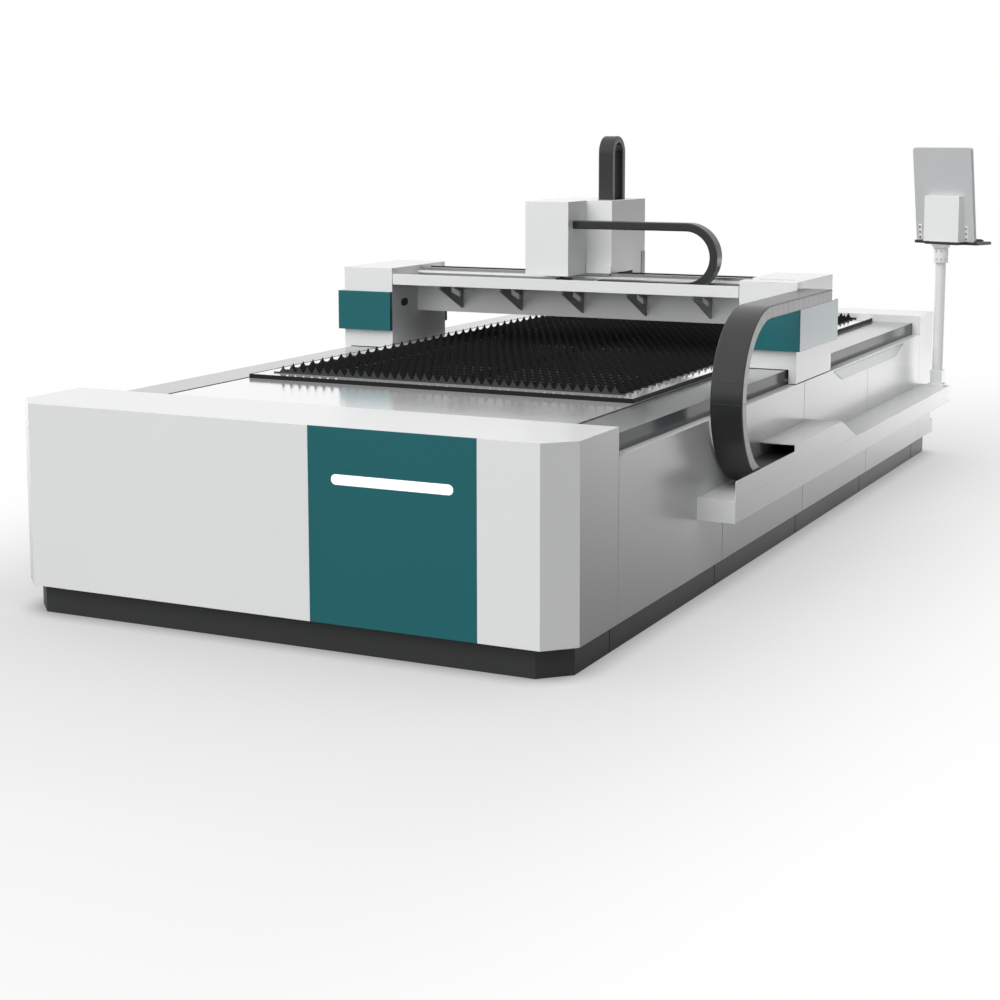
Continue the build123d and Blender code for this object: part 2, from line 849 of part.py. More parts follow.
# Slats: upright blades across the bed with pointed teeth
slat_points = [(-slat_half_length, slat_bottom), (-slat_half_length, slat_valley)]
first_tooth_x = -slat_tooth_pitch * slat_tooth_count / 2
for tooth in range(slat_tooth_count):
    slat_points.append((first_tooth_x + tooth * slat_tooth_pitch, slat_valley))
    slat_points.append((first_tooth_x + (tooth + 1 / 2) * slat_tooth_pitch, slat_tip))
slat_points.append((-first_tooth_x, slat_valley))
slat_points += [(slat_half_length, slat_valley), (slat_half_length, slat_bottom)]
with BuildPart() as slat_blade:
    with BuildSketch(Plane.XZ):
        with BuildLine():
            Polyline(*slat_points, close=True)
        make_face()
    extrude(amount=slat_sheet / 2, both=True)
with BuildPart() as slats:
    with Locations(*[(0, slat_first_y + row * slat_pitch, 0) for row in range(slat_count)]):
        add(slat_blade.part)
slats.part.label = "slats"
export_step(slats.part, "parts/slats.step")

# Cable tray: closed box along the right side
with BuildPart() as cable_tray:
    block(half_width, tray_outer_x, tray_front_y, tray_rear_y, tray_bottom, tray_top)
cable_tray.part.label = "cable_tray"
export_step(cable_tray.part, "parts/cable_tray.step")

# Tray cover: low outer wall that rises to a tunnel with a sloped end
with BuildPart() as tray_cover:
    block(tray_outer_x - sheet, tray_outer_x, tray_wall_front_y, tunnel_front_y, tray_top, tray_wall_top)
    with BuildSketch(Plane.YZ.offset(half_width)):
        with BuildLine():
            Polyline(
                (tunnel_front_y, tray_top),
                (tunnel_front_y, tunnel_top),
                (tunnel_roof_end_y, tunnel_top),
                (tunnel_slope_end_y, tray_top),
                close=True,
            )
        make_face()
    extrude(amount=tray_outer_x - half_width)
    with BuildSketch(Plane.YZ.offset(half_width)):
        with BuildLine():
            Polyline(
                (tunnel_front_y, tray_top),
                (tunnel_front_y, tunnel_top - sheet),
                (tunnel_roof_end_y - sheet, tunnel_top - sheet),
                (tunnel_slope_end_y - 2 * sheet, tray_top),
                close=True,
            )
        make_face()
    extrude(amount=tray_outer_x - sheet - half_width, mode=Mode.SUBTRACT)
tray_cover.part.label = "tray_cover"
export_step(tray_cover.part, "parts/tray_cover.step")

# Large chain beside the bed: upper run, round bend and lower run
chain_bottom = y_chain_bend_z - y_chain_outer_radius
with BuildPart() as y_chain:
    with BuildSketch(Plane.YZ.offset(y_chain_inner_x)):
        with BuildLine():
            Line(
                (y_chain_moving_end_y, y_chain_bend_z + y_chain_outer_radius),
                (y_chain_bend_y, y_chain_bend_z + y_chain_outer_radius),
            )
            ThreePointArc(
                (y_chain_bend_y, y_chain_bend_z + y_chain_outer_radius),
                (y_chain_bend_y - y_chain_outer_radius, y_chain_bend_z),
                (y_chain_bend_y, chain_bottom),
            )
            Polyline(
                (y_chain_bend_y, chain_bottom),
                (y_chain_fixed_end_y, chain_bottom),
                (y_chain_fixed_end_y, chain_bottom + y_chain_thickness),
                (y_chain_bend_y, chain_bottom + y_chain_thickness),
            )
            ThreePointArc(
                (y_chain_bend_y, chain_bottom + y_chain_thickness),
                (y_chain_bend_y - y_chain_inner_radius, y_chain_bend_z),
                (y_chain_bend_y, y_chain_bend_z + y_chain_inner_radius),
            )
            Polyline(
                (y_chain_bend_y, y_chain_bend_z + y_chain_inner_radius),
                (y_chain_moving_end_y, y_chain_bend_z + y_chain_inner_radius),
                (y_chain_moving_end_y, y_chain_bend_z + y_chain_outer_radius),
            )
        make_face()
    extrude(amount=y_chain_outer_x - y_chain_inner_x)
y_chain.part.label = "y_chain"
export_step(y_chain.part, "parts/y_chain.step")

with BuildPart() as y_chain_fixed_bracket:
    block(
        y_chain_inner_x,
        y_chain_outer_x,
        y_chain_fixed_end_y,
        y_chain_fixed_end_y + chain_bracket_length,
        tray_top,
        chain_bottom + y_chain_thickness,
    )
y_chain_fixed_bracket.part.label = "y_chain_fixed_bracket"
export_step(y_chain_fixed_bracket.part, "parts/y_chain_fixed_bracket.step")

# Cable box low on the rear housing
with BuildPart() as rear_cable_box:
    block(
        half_width - cable_box_width,
        half_width,
        rear_y,
        rear_y + cable_box_depth,
        cable_box_bottom,
        cable_box_top,
    )
rear_cable_box.part.label = "rear_cable_box"
export_step(rear_cable_box.part, "parts/rear_cable_box.step")

# Console pole on the tray, with a spigot that the console turns on
with BuildPart() as console_pole:
    block(
        pole_x - pole_foot / 2,
        pole_x + pole_foot / 2,
        pole_y - pole_foot / 2,
        pole_y + pole_foot / 2,
        tray_top,
        pole_foot_top,
    )
    with Locations((pole_x, pole_y, pole_foot_top)):
        Box(pole_clamp, pole_clamp, pole_clamp_height, align=(Align.CENTER, Align.CENTER, Align.MIN))
        Cylinder(pole_radius, pole_top - pole_foot_top, align=(Align.CENTER, Align.CENTER, Align.MIN))
    with Locations((pole_x, pole_y, pole_top)):
        Cylinder(spigot_radius, spigot_top - pole_top, align=(Align.CENTER, Align.CENTER, Align.MIN))
console_pole.part.label = "console_pole"
export_step(console_pole.part, "parts/console_pole.step")

# Gantry beam: closed box across the bed
with BuildPart() as gantry_beam:
    block(
        -blade_inner_x,
        blade_inner_x,
        gantry_beam_front_y,
        gantry_beam_rear_y,
        gantry_beam_bottom,
        gantry_beam_top,
    )
gantry_beam.part.label = "gantry_beam"
export_step(gantry_beam.part, "parts/gantry_beam.step")

# Chain trough in front of the beam
with BuildPart() as chain_trough:
    block(
        -trough_half_length,
        trough_half_length,
        tower_front_y,
        gantry_beam_front_y,
        trough_floor_bottom,
        trough_floor_top,
    )
    block(
        -trough_half_length,
        trough_half_length,
        tower_front_y,
        tower_front_y + trough_lip,
        trough_lip_bottom,
        trough_lip_top,
    )
chain_trough.part.label = "chain_trough"
export_step(chain_trough.part, "parts/chain_trough.step")

# Gussets under the trough, each with a slanted window
with BuildPart() as gussets:
    for number in range(gusset_count):
        with BuildSketch(Plane.YZ.offset(gusset_first_x + number * gusset_pitch - gusset_sheet / 2)):
            with BuildLine():
                Polyline(
                    (gantry_beam_front_y, gusset_low_z),
                    (gantry_beam_front_y, trough_floor_bottom),
                    (gusset_tip_y, trough_floor_bottom),
                    (gusset_tip_y, gusset_tip_z),
                    close=True,
                )
            make_face()
            with BuildSketch(mode=Mode.SUBTRACT) as gusset_window:
                with BuildLine():
                    Polyline(
                        (gusset_window_tip_y, gusset_window_top_z),
                        (gusset_window_tip_y, gusset_window_top_z - gusset_window_height),
                        (
                            gusset_window_back_y,
                            gusset_window_top_z - gusset_window_height - gusset_window_fall,
                        ),
                        (gusset_window_back_y, gusset_window_top_z - gusset_window_fall),
                        close=True,
                    )
                make_face()
                fillet(gusset_window.vertices(), radius=gusset_window_corner)
        extrude(amount=gusset_sheet)
gussets.part.label = "gussets"
export_step(gussets.part, "parts/gussets.step")

# Cross rails and rack on the beam
with BuildPart() as x_rail_front:
    block(
        -x_rail_half_length,
        x_rail_half_length,
        x_rail_front_y - x_rail_width / 2,
        x_rail_front_y + x_rail_width / 2,
        gantry_beam_top,
        gantry_beam_top + x_rail_height,
    )
x_rail_front.part.label = "x_rail_front"
export_step(x_rail_front.part, "parts/x_rail_front.step")

with BuildPart() as x_rail_rear:
    block(
        -x_rail_half_length,
        x_rail_half_length,
        x_rail_rear_y - x_rail_width / 2,
        x_rail_rear_y + x_rail_width / 2,
        gantry_beam_top,
        gantry_beam_top + x_rail_height,
    )
x_rail_rear.part.label = "x_rail_rear"
export_step(x_rail_rear.part, "parts/x_rail_rear.step")

with BuildPart() as x_rack:
    block(
        -x_rail_half_length,
        x_rail_half_length,
        gantry_beam_front_y - x_rack_depth,
        gantry_beam_front_y,
        x_rack_bottom,
        x_rack_top,
    )
x_rack.part.label = "x_rack"
export_step(x_rack.part, "parts/x_rack.step")

# Tower frames: blades that pass down through the cover slots, saddles on the guide blocks, motor shelves
with BuildPart() as tower_frames:
    for start_y, end_y in (
        (front_saddle_start_y, front_saddle_end_y),
        (rear_saddle_start_y, rear_saddle_end_y),
    ):
        block(blade_inner_x, blade_outer_x, start_y, end_y, saddle_bottom, blade_top)
        block(blade_inner_x, saddle_outer_x, start_y, end_y, saddle_bottom, saddle_top)
    block(
        blade_outer_x,
        shelf_outer_x,
        front_saddle_start_y,
        rear_saddle_end_y,
        shelf_bottom,
        shelf_top,
    )
    mirror(about=Plane.YZ)
tower_frames.part.label = "tower_frames"
export_step(tower_frames.part, "parts/tower_frames.step")

# Guide blocks under the saddles, four in all
with BuildPart() as y_guide_blocks:
    for start_y, end_y in (
        (front_saddle_start_y, front_saddle_end_y),
        (rear_saddle_start_y, rear_saddle_end_y),
    ):
        block_y = (start_y + end_y) / 2
        block(
            y_rail_x - y_block_half_width,
            y_rail_x + y_block_half_width,
            block_y - y_block_length / 2,
            block_y + y_block_length / 2,
            y_block_bottom,
            saddle_bottom,
        )
        block(
            y_rail_x - y_rail_width / 2 - slide_gap,
            y_rail_x + y_rail_width / 2 + slide_gap,
            block_y - y_block_length / 2,
            block_y + y_block_length / 2,
            y_block_bottom,
            beam_top + y_rail_height + slide_gap,
            Mode.SUBTRACT,
        )
    mirror(about=Plane.YZ)
y_guide_blocks.part.label = "y_guide_blocks"
export_step(y_guide_blocks.part, "parts/y_guide_blocks.step")

# Drive motors with a shaft through the slot and a pinion beside the rack
with BuildPart() as y_motors:
    block(
        y_motor_x - y_motor_half,
        y_motor_x + y_motor_half,
        y_motor_y - y_motor_half,
        y_motor_y + y_motor_half,
        shelf_top,
        y_gearbox_top,
    )
    with Locations((y_motor_x, y_motor_y, y_gearbox_top)):
        Cylinder(y_motor_half, y_motor_top - y_gearbox_top, align=(Align.CENTER, Align.CENTER, Align.MIN))
    with Locations((y_shaft_x, y_motor_y, y_pinion_bottom)):
        Cylinder(y_shaft_radius, shelf_top - y_pinion_bottom, align=(Align.CENTER, Align.CENTER, Align.MIN))
        Cylinder(
            y_pinion_radius,
            y_pinion_top - y_pinion_bottom,
            align=(Align.CENTER, Align.CENTER, Align.MIN),
        )
    mirror(about=Plane.YZ)
y_motors.part.label = "y_motors"
export_step(y_motors.part, "parts/y_motors.step")

# Tower covers: folded boxes open below, with an outer skirt and an opening for the beam
with BuildPart() as tower_cover:
    block(tower_inner_x, half_width, tower_front_y, tower_rear_y, tower_skirt_bottom, tower_top)
    block(
        tower_inner_x,
        tower_skirt_x,
        tower_front_y,
        tower_rear_y,
        tower_skirt_bottom,
        tower_inner_bottom,
        Mode.SUBTRACT,
    )
    block(
        tower_inner_x + tower_sheet,
        half_width - tower_sheet,
        tower_front_y + tower_sheet,
        tower_rear_y - tower_sheet,
        tower_skirt_bottom,
        tower_top - tower_sheet,
        Mode.SUBTRACT,
    )
    block(
        tower_inner_x,
        tower_inner_x + tower_sheet,
        gantry_beam_front_y,
        gantry_beam_rear_y,
        gantry_beam_bottom,
        gantry_beam_top,
        Mode.SUBTRACT,
    )
with BuildPart() as tower_cover_right:
    add(tower_cover.part)
    block(
        tower_inner_x,
        channel_end_x,
        channel_front_y - channel_sheet,
        channel_rear_y + channel_sheet,
        trough_floor_bottom,
        tower_top,
    )
    block(
        tower_inner_x,
        channel_end_x - channel_sheet,
        channel_front_y,
        channel_rear_y,
        trough_floor_top,
        tower_top,
        Mode.SUBTRACT,
    )
tower_cover_right.part.label = "tower_cover_right"
export_step(tower_cover_right.part, "parts/tower_cover_right.step")

with BuildPart() as tower_cover_left:
    mirror(tower_cover.part, about=Plane.YZ)
    with BuildSketch(Plane((-tower_inner_x, tower_port_y, tower_port_z), x_dir=(0, 1, 0), z_dir=(1, 0, 0))):
        SlotOverall(tower_port_length, tower_port_height)
    extrude(amount=2 * tower_sheet, both=True, mode=Mode.SUBTRACT)
tower_cover_left.part.label = "tower_cover_left"
export_step(tower_cover_left.part, "parts/tower_cover_left.step")

# Coloured bands that wrap three sides of each tower
with BuildPart() as tower_bands:
    block(
        tower_inner_x,
        half_width + band_proud,
        tower_front_y - band_proud,
        tower_rear_y + band_proud,
        band_bottom,
        band_top,
    )
    block(tower_inner_x, half_width, tower_front_y, tower_rear_y, band_bottom, band_top, Mode.SUBTRACT)
    mirror(about=Plane.YZ)
tower_bands.part.label = "tower_bands"
export_step(tower_bands.part, "parts/tower_bands.step")

# Brackets at the gantry's ends of two chains
with BuildPart() as chain_brackets:
    block(
        half_width,
        y_chain_outer_x,
        y_chain_moving_end_y,
        y_chain_moving_end_y + chain_bracket_length,
        y_chain_bend_z + y_chain_inner_radius + chain_bracket_inset,
        y_chain_bend_z + y_chain_outer_radius - chain_bracket_inset,
    )
    block(
        x_chain_fixed_end_x - x_bracket_length,
        x_chain_fixed_end_x,
        x_chain_front_y,
        x_chain_rear_y,
        trough_floor_top,
        x_chain_bend_z - x_chain_inner_radius,
    )
chain_brackets.part.label = "chain_brackets"
export_step(chain_brackets.part, "parts/chain_brackets.step")

# Chain from the trough round to the carriage
with BuildPart() as x_chain:
    with BuildSketch(Plane.XZ.offset(-x_chain_front_y)):
        with BuildLine():
            Line(
                (drive_cover_right_x, x_chain_bend_z + x_chain_outer_radius),
                (x_chain_bend_x, x_chain_bend_z + x_chain_outer_radius),
            )
            ThreePointArc(
                (x_chain_bend_x, x_chain_bend_z + x_chain_outer_radius),
                (x_chain_bend_x + x_chain_outer_radius, x_chain_bend_z),
                (x_chain_bend_x, x_chain_bend_z - x_chain_outer_radius),
            )
            Polyline(
                (x_chain_bend_x, x_chain_bend_z - x_chain_outer_radius),
                (x_chain_fixed_end_x, x_chain_bend_z - x_chain_outer_radius),
                (x_chain_fixed_end_x, x_chain_bend_z - x_chain_inner_radius),
                (x_chain_bend_x, x_chain_bend_z - x_chain_inner_radius),
            )
            ThreePointArc(
                (x_chain_bend_x, x_chain_bend_z - x_chain_inner_radius),
                (x_chain_bend_x + x_chain_inner_radius, x_chain_bend_z),
                (x_chain_bend_x, x_chain_bend_z + x_chain_inner_radius),
            )
            Polyline(
                (x_chain_bend_x, x_chain_bend_z + x_chain_inner_radius),
                (drive_cover_right_x, x_chain_bend_z + x_chain_inner_radius),
                (drive_cover_right_x, x_chain_bend_z + x_chain_outer_radius),
            )
        make_face()
    extrude(amount=x_chain_front_y - x_chain_rear_y)
x_chain.part.label = "x_chain"
export_step(x_chain.part, "parts/x_chain.step")

# Carriage plate on the cross guide blocks
with BuildPart() as carriage_plate:
    block(
        drive_cover_left_x + sheet,
        drive_cover_right_x - sheet,
        drive_cover_front_y + sheet,
        head_cover_front_y + sheet,
        carriage_bottom,
        carriage_top,
    )
    block(
        head_cover_left_x + sheet,
        head_cover_right_x - sheet,
        head_cover_front_y + sheet,
        carriage_rear_y,
        carriage_bottom,
        carriage_top,
    )
    with Locations((x_motor_x, x_pinion_y, carriage_top)):
        Hole(x_shaft_hole_radius)
carriage_plate.part.label = "carriage_plate"
export_step(carriage_plate.part, "parts/carriage_plate.step")

with BuildPart() as x_guide_blocks:
    for block_x in (x_block_left_x, x_block_right_x):
        for rail_y in (x_rail_front_y, x_rail_rear_y):
            block(
                block_x - x_block_half_length,
                block_x + x_block_half_length,
                rail_y - x_block_half_width,
                rail_y + x_block_half_width,
                x_block_bottom,
                carriage_bottom,
            )
            block(
                block_x - x_block_half_length,
                block_x + x_block_half_length,
                rail_y - x_rail_width / 2 - slide_gap,
                rail_y + x_rail_width / 2 + slide_gap,
                x_block_bottom,
                gantry_beam_top + x_rail_height + slide_gap,
                Mode.SUBTRACT,
            )
x_guide_blocks.part.label = "x_guide_blocks"
export_step(x_guide_blocks.part, "parts/x_guide_blocks.step")

# Cross motor with its shaft and pinion
with BuildPart() as x_motor:
    block(
        x_motor_x - x_motor_half,
        x_motor_x + x_motor_half,
        x_motor_y - x_motor_half,
        x_motor_y + x_motor_half,
        carriage_top,
        x_motor_top,
    )
    with Locations((x_motor_x, x_pinion_y, x_rack_bottom)):
        Cylinder(x_shaft_radius, carriage_top - x_rack_bottom, align=(Align.CENTER, Align.CENTER, Align.MIN))
        Cylinder(x_pinion_radius, x_rack_top - x_rack_bottom, align=(Align.CENTER, Align.CENTER, Align.MIN))
x_motor.part.label = "x_motor"
export_step(x_motor.part, "parts/x_motor.step")

# Cover over the cross motor, open below and behind
with BuildPart() as drive_cover:
    block(
        drive_cover_left_x,
        drive_cover_right_x,
        drive_cover_front_y,
        head_cover_front_y,
        drive_cover_bottom,
        covers_top,
    )
    block(
        drive_cover_left_x + sheet,
        drive_cover_right_x - sheet,
        drive_cover_front_y + sheet,
        head_cover_front_y,
        drive_cover_bottom,
        covers_top - sheet,
        Mode.SUBTRACT,
    )
drive_cover.part.label = "drive_cover"
export_step(drive_cover.part, "parts/drive_cover.step")

# Cover over the lifting axis, open below: a slot for the chain in its top, a low lip in front, a skirt behind
with BuildPart() as head_cover:
    block(
        head_cover_left_x,
        head_cover_right_x,
        head_cover_front_y,
        head_cover_rear_y,
        head_cover_bottom,
        covers_top,
    )
    block(
        head_cover_left_x + sheet,
        head_cover_right_x - sheet,
        head_cover_front_y + sheet,
        head_cover_rear_y - sheet,
        head_cover_bottom,
        covers_top - sheet,
        Mode.SUBTRACT,
    )
    block(
        drive_cover_left_x + sheet,
        drive_cover_right_x - sheet,
        head_cover_front_y,
        head_cover_front_y + sheet,
        head_cover_bottom,
        covers_top - sheet,
        Mode.SUBTRACT,
    )
    block(
        z_chain_left_x - z_slot_gap,
        z_chain_right_x + z_slot_gap,
        z_chain_bend_y - z_chain_outer_radius - z_slot_gap,
        z_chain_bend_y + z_chain_outer_radius + z_slot_gap,
        covers_top - sheet,
        covers_top,
        Mode.SUBTRACT,
    )
    block(
        drive_cover_right_x + cover_lip_gap,
        head_cover_right_x,
        head_cover_front_y - cover_lip_depth,
        head_cover_front_y,
        head_cover_bottom,
        head_cover_bottom + cover_lip_height,
    )
    block(
        head_cover_left_x,
        head_cover_right_x,
        gantry_beam_rear_y + cover_skirt_gap,
        head_cover_rear_y,
        cover_skirt_bottom,
        head_cover_bottom,
    )
    block(
        head_cover_left_x + sheet,
        head_cover_right_x - sheet,
        gantry_beam_rear_y + cover_skirt_gap,
        head_cover_rear_y - sheet,
        cover_skirt_bottom,
        head_cover_bottom,
        Mode.SUBTRACT,
    )
head_cover.part.label = "head_cover"
export_step(head_cover.part, "parts/head_cover.step")

# Narrow window strip on the head cover's right side
with BuildPart() as head_window:
    block(
        head_cover_right_x,
        head_cover_right_x + window_sheet,
        head_cover_rear_y - window_depth,
        head_cover_rear_y,
        window_bottom,
        window_top,
    )
head_window.part.label = "head_window"
export_step(head_window.part, "parts/head_window.step")

# Lifting axis: back plate, two rails, and the motor with its screw
back_plate_rear_y = carriage_rear_y + back_plate_sheet
with BuildPart() as z_back_plate:
    block(
        back_plate_left_x,
        back_plate_right_x,
        carriage_rear_y,
        back_plate_rear_y,
        back_plate_bottom,
        back_plate_top,
    )
z_back_plate.part.label = "z_back_plate"
export_step(z_back_plate.part, "parts/z_back_plate.step")

with BuildPart() as z_rails:
    for rail_x in (z_axis_x - z_rail_offset, z_axis_x + z_rail_offset):
        block(
            rail_x - z_rail_width / 2,
            rail_x + z_rail_width / 2,
            back_plate_rear_y,
            back_plate_rear_y + z_rail_depth,
            z_rail_bottom,
            z_rail_top,
        )
z_rails.part.label = "z_rails"
export_step(z_rails.part, "parts/z_rails.step")

with BuildPart() as z_drive:
    block(
        z_axis_x - z_motor_half,
        z_axis_x + z_motor_half,
        screw_y - z_motor_half,
        screw_y + z_motor_half,
        back_plate_top,
        z_motor_top,
    )
    with Locations((z_axis_x, screw_y, screw_bottom)):
        Cylinder(screw_radius, back_plate_top - screw_bottom, align=(Align.CENTER, Align.CENTER, Align.MIN))
z_drive.part.label = "z_drive"
export_step(z_drive.part, "parts/z_drive.step")

# Lifting plate with its nut and the arm that holds the chain's moving end
with BuildPart() as z_plate:
    block(z_plate_left_x, z_plate_right_x, z_plate_front_y, z_plate_rear_y, z_plate_bottom, z_plate_top)
    block(
        z_axis_x - nut_half_width,
        z_axis_x + nut_half_width,
        nut_front_y,
        z_plate_front_y,
        nut_bottom,
        nut_top,
    )
    with Locations((z_axis_x, screw_y, nut_bottom)):
        Cylinder(
            nut_hole_radius,
            nut_top - nut_bottom,
            align=(Align.CENTER, Align.CENTER, Align.MIN),
            mode=Mode.SUBTRACT,
        )
    block(chain_arm_left_x, z_plate_right_x, chain_arm_front_y, z_plate_rear_y, z_plate_top, chain_arm_top)
z_plate.part.label = "z_plate"
export_step(z_plate.part, "parts/z_plate.step")

with BuildPart() as z_guide_blocks:
    for rail_x in (z_axis_x - z_rail_offset, z_axis_x + z_rail_offset):
        for low_z in (z_low_block_bottom, z_high_block_bottom):
            block(
                rail_x - z_block_half_width,
                rail_x + z_block_half_width,
                back_plate_rear_y + z_block_gap,
                z_plate_front_y,
                low_z,
                low_z + z_block_height,
            )
            block(
                rail_x - z_rail_width / 2 - slide_gap,
                rail_x + z_rail_width / 2 + slide_gap,
                back_plate_rear_y + z_block_gap,
                back_plate_rear_y + z_rail_depth + slide_gap,
                low_z,
                low_z + z_block_height,
                Mode.SUBTRACT,
            )
z_guide_blocks.part.label = "z_guide_blocks"
export_step(z_guide_blocks.part, "parts/z_guide_blocks.step")

# Laser head: body, fibre collimator above, lens barrel below
with BuildPart() as laser_head:
    block(
        z_axis_x - head_half_width,
        z_axis_x + head_half_width,
        z_plate_rear_y,
        z_plate_rear_y + head_depth,
        head_bottom,
        head_top,
    )
    with Locations((z_axis_x, nozzle_axis_y, head_top)):
        Cylinder(collimator_radius, collimator_top - head_top, align=(Align.CENTER, Align.CENTER, Align.MIN))
    with Locations((z_axis_x, nozzle_axis_y, lens_barrel_bottom)):
        Cylinder(
            lens_barrel_radius,
            head_bottom - lens_barrel_bottom,
            align=(Align.CENTER, Align.CENTER, Align.MIN),
        )
laser_head.part.label = "laser_head"
export_step(laser_head.part, "parts/laser_head.step")

with BuildPart() as nozzle:
    with BuildSketch(Plane((z_axis_x, nozzle_axis_y, 0), x_dir=(1, 0, 0), z_dir=(0, -1, 0))):
        with BuildLine():
            Polyline(
                (nozzle_bore_radius, nozzle_tip),
                (nozzle_tip_radius, nozzle_tip),
                (nozzle_top_radius, lens_barrel_bottom - nozzle_collar),
                (nozzle_top_radius, lens_barrel_bottom),
                (nozzle_bore_radius, lens_barrel_bottom),
                close=True,
            )
        make_face()
    revolve(axis=Axis((z_axis_x, nozzle_axis_y, 0), (0, 0, 1)))
nozzle.part.label = "nozzle"
export_step(nozzle.part, "parts/nozzle.step")

# Chain that stands above the head cover: two upright legs joined by a round bend
z_bend_z = z_chain_top - z_chain_outer_radius
with BuildPart() as z_chain:
    with BuildSketch(Plane.YZ.offset(z_chain_left_x)):
        with BuildLine():
            Line(
                (z_chain_bend_y - z_chain_outer_radius, carriage_top),
                (z_chain_bend_y - z_chain_outer_radius, z_bend_z),
            )
            ThreePointArc(
                (z_chain_bend_y - z_chain_outer_radius, z_bend_z),
                (z_chain_bend_y, z_chain_top),
                (z_chain_bend_y + z_chain_outer_radius, z_bend_z),
            )
            Polyline(
                (z_chain_bend_y + z_chain_outer_radius, z_bend_z),
                (z_chain_bend_y + z_chain_outer_radius, chain_arm_top),
                (z_chain_bend_y + z_chain_inner_radius, chain_arm_top),
                (z_chain_bend_y + z_chain_inner_radius, z_bend_z),
            )
            ThreePointArc(
                (z_chain_bend_y + z_chain_inner_radius, z_bend_z),
                (z_chain_bend_y, z_bend_z + z_chain_inner_radius),
                (z_chain_bend_y - z_chain_inner_radius, z_bend_z),
            )
            Polyline(
                (z_chain_bend_y - z_chain_inner_radius, z_bend_z),
                (z_chain_bend_y - z_chain_inner_radius, carriage_top),
                (z_chain_bend_y - z_chain_outer_radius, carriage_top),
            )
        make_face()
    extrude(amount=z_chain_right_x - z_chain_left_x)
z_chain.part.label = "z_chain"
export_step(z_chain.part, "parts/z_chain.step")

# Console frame: u runs along the shelf, n points to the operator
turn = radians(console_turn)
tilt = radians(monitor_tilt)
u_way = Vector(cos(turn), sin(turn), 0)
n_way = Vector(-sin(turn), cos(turn), 0)
console_plane = Plane((pole_x, pole_y, 0), x_dir=u_way, z_dir=(0, 0, 1))
monitor_plane = Plane(
    Vector(pole_x, pole_y, console_shelf_top) + n_way * monitor_back_n,
    x_dir=u_way,
    z_dir=Vector(0, 0, cos(tilt)) - n_way * sin(tilt),
)

# Collar that turns on the pole, with a flange on top that carries the console
with BuildPart(console_plane) as console_collar:
    with Locations((0, 0, collar_top)):
        Cone(
            collar_flange_neck,
            collar_flange_radius,
            collar_flange_height,
            align=(Align.CENTER, Align.CENTER, Align.MIN),
        )
    with Locations((0, 0, collar_bottom)):
        Cylinder(collar_radius, collar_top - collar_bottom, align=(Align.CENTER, Align.CENTER, Align.MIN))
        Cylinder(
            spigot_radius + turn_gap,
            collar_bore_top - collar_bottom,
            align=(Align.CENTER, Align.CENTER, Align.MIN),
            mode=Mode.SUBTRACT,
        )
console_collar.part.label = "console_collar"
export_step(console_collar.part, "parts/console_collar.step")

# Keyboard shelf, with an arm back over the flange
with BuildPart(console_plane) as keyboard_shelf:
    block(
        -shelf_width / 2,
        shelf_width / 2,
        shelf_back_n,
        shelf_front_n,
        console_shelf_bottom,
        console_shelf_top,
    )
    fillet(keyboard_shelf.edges().filter_by(Axis.Z), radius=shelf_corner)
    block(
        back_box_shift - back_box_width / 2 + shelf_arm_inset,
        back_box_shift + back_box_width / 2 - shelf_arm_inset,
        back_box_n + shelf_arm_inset,
        shelf_back_n,
        console_shelf_bottom,
        console_shelf_top,
    )
keyboard_shelf.part.label = "keyboard_shelf"
export_step(keyboard_shelf.part, "parts/keyboard_shelf.step")

# Monitor housing, leaning back a little, with its foot cut flat on the shelf
with BuildPart(monitor_plane) as monitor_housing:
    block(-monitor_width / 2, monitor_width / 2, 0, monitor_depth, -monitor_foot, monitor_height)
    fillet(monitor_housing.edges().group_by(SortBy.LENGTH)[0], radius=monitor_corner)
    block(
        -monitor_width / 2 + bezel,
        monitor_width / 2 - bezel,
        monitor_depth - screen_sheet,
        monitor_depth,
        screen_bottom,
        monitor_height - bezel,
        Mode.SUBTRACT,
    )
    with Locations(Location((button_u, monitor_depth, button_h), (90, 0, 0))):
        Cylinder(
            button_stem_radius + button_hole_gap,
            2 * button_hole_depth,
            mode=Mode.SUBTRACT,
        )
    split(bisect_by=Plane.XY.offset(console_shelf_top), keep=Keep.TOP)
monitor_housing.part.label = "monitor_housing"
export_step(monitor_housing.part, "parts/monitor_housing.step")

with BuildPart(monitor_plane) as monitor_screen:
    block(
        -monitor_width / 2 + bezel,
        monitor_width / 2 - bezel,
        monitor_depth - screen_sheet,
        monitor_depth,
        screen_bottom,
        monitor_height - bezel,
    )
monitor_screen.part.label = "monitor_screen"
export_step(monitor_screen.part, "parts/monitor_screen.step")

# Box on the monitor's back, upright behind and following the monitor's lean in front
with BuildPart() as monitor_back_box:
    with BuildSketch(Plane(Vector(pole_x, pole_y, 0) + u_way * back_box_shift, x_dir=n_way, z_dir=u_way)):
        with BuildLine():
            Polyline(
                (back_box_n, console_shelf_top),
                (back_box_n, back_box_top),
                (monitor_back_n - back_box_height * tan(tilt), back_box_top),
                (monitor_back_n, console_shelf_top),
                close=True,
            )
        make_face()
    extrude(amount=back_box_width / 2, both=True)
monitor_back_box.part.label = "monitor_back_box"
export_step(monitor_back_box.part, "parts/monitor_back_box.step")

with BuildPart(console_plane) as keyboard:
    block(
        -keyboard_width / 2,
        keyboard_width / 2,
        keyboard_n - keyboard_depth / 2,
        keyboard_n + keyboard_depth / 2,
        console_shelf_top,
        console_shelf_top + keyboard_height,
    )
keyboard.part.label = "keyboard"
export_step(keyboard.part, "parts/keyboard.step")

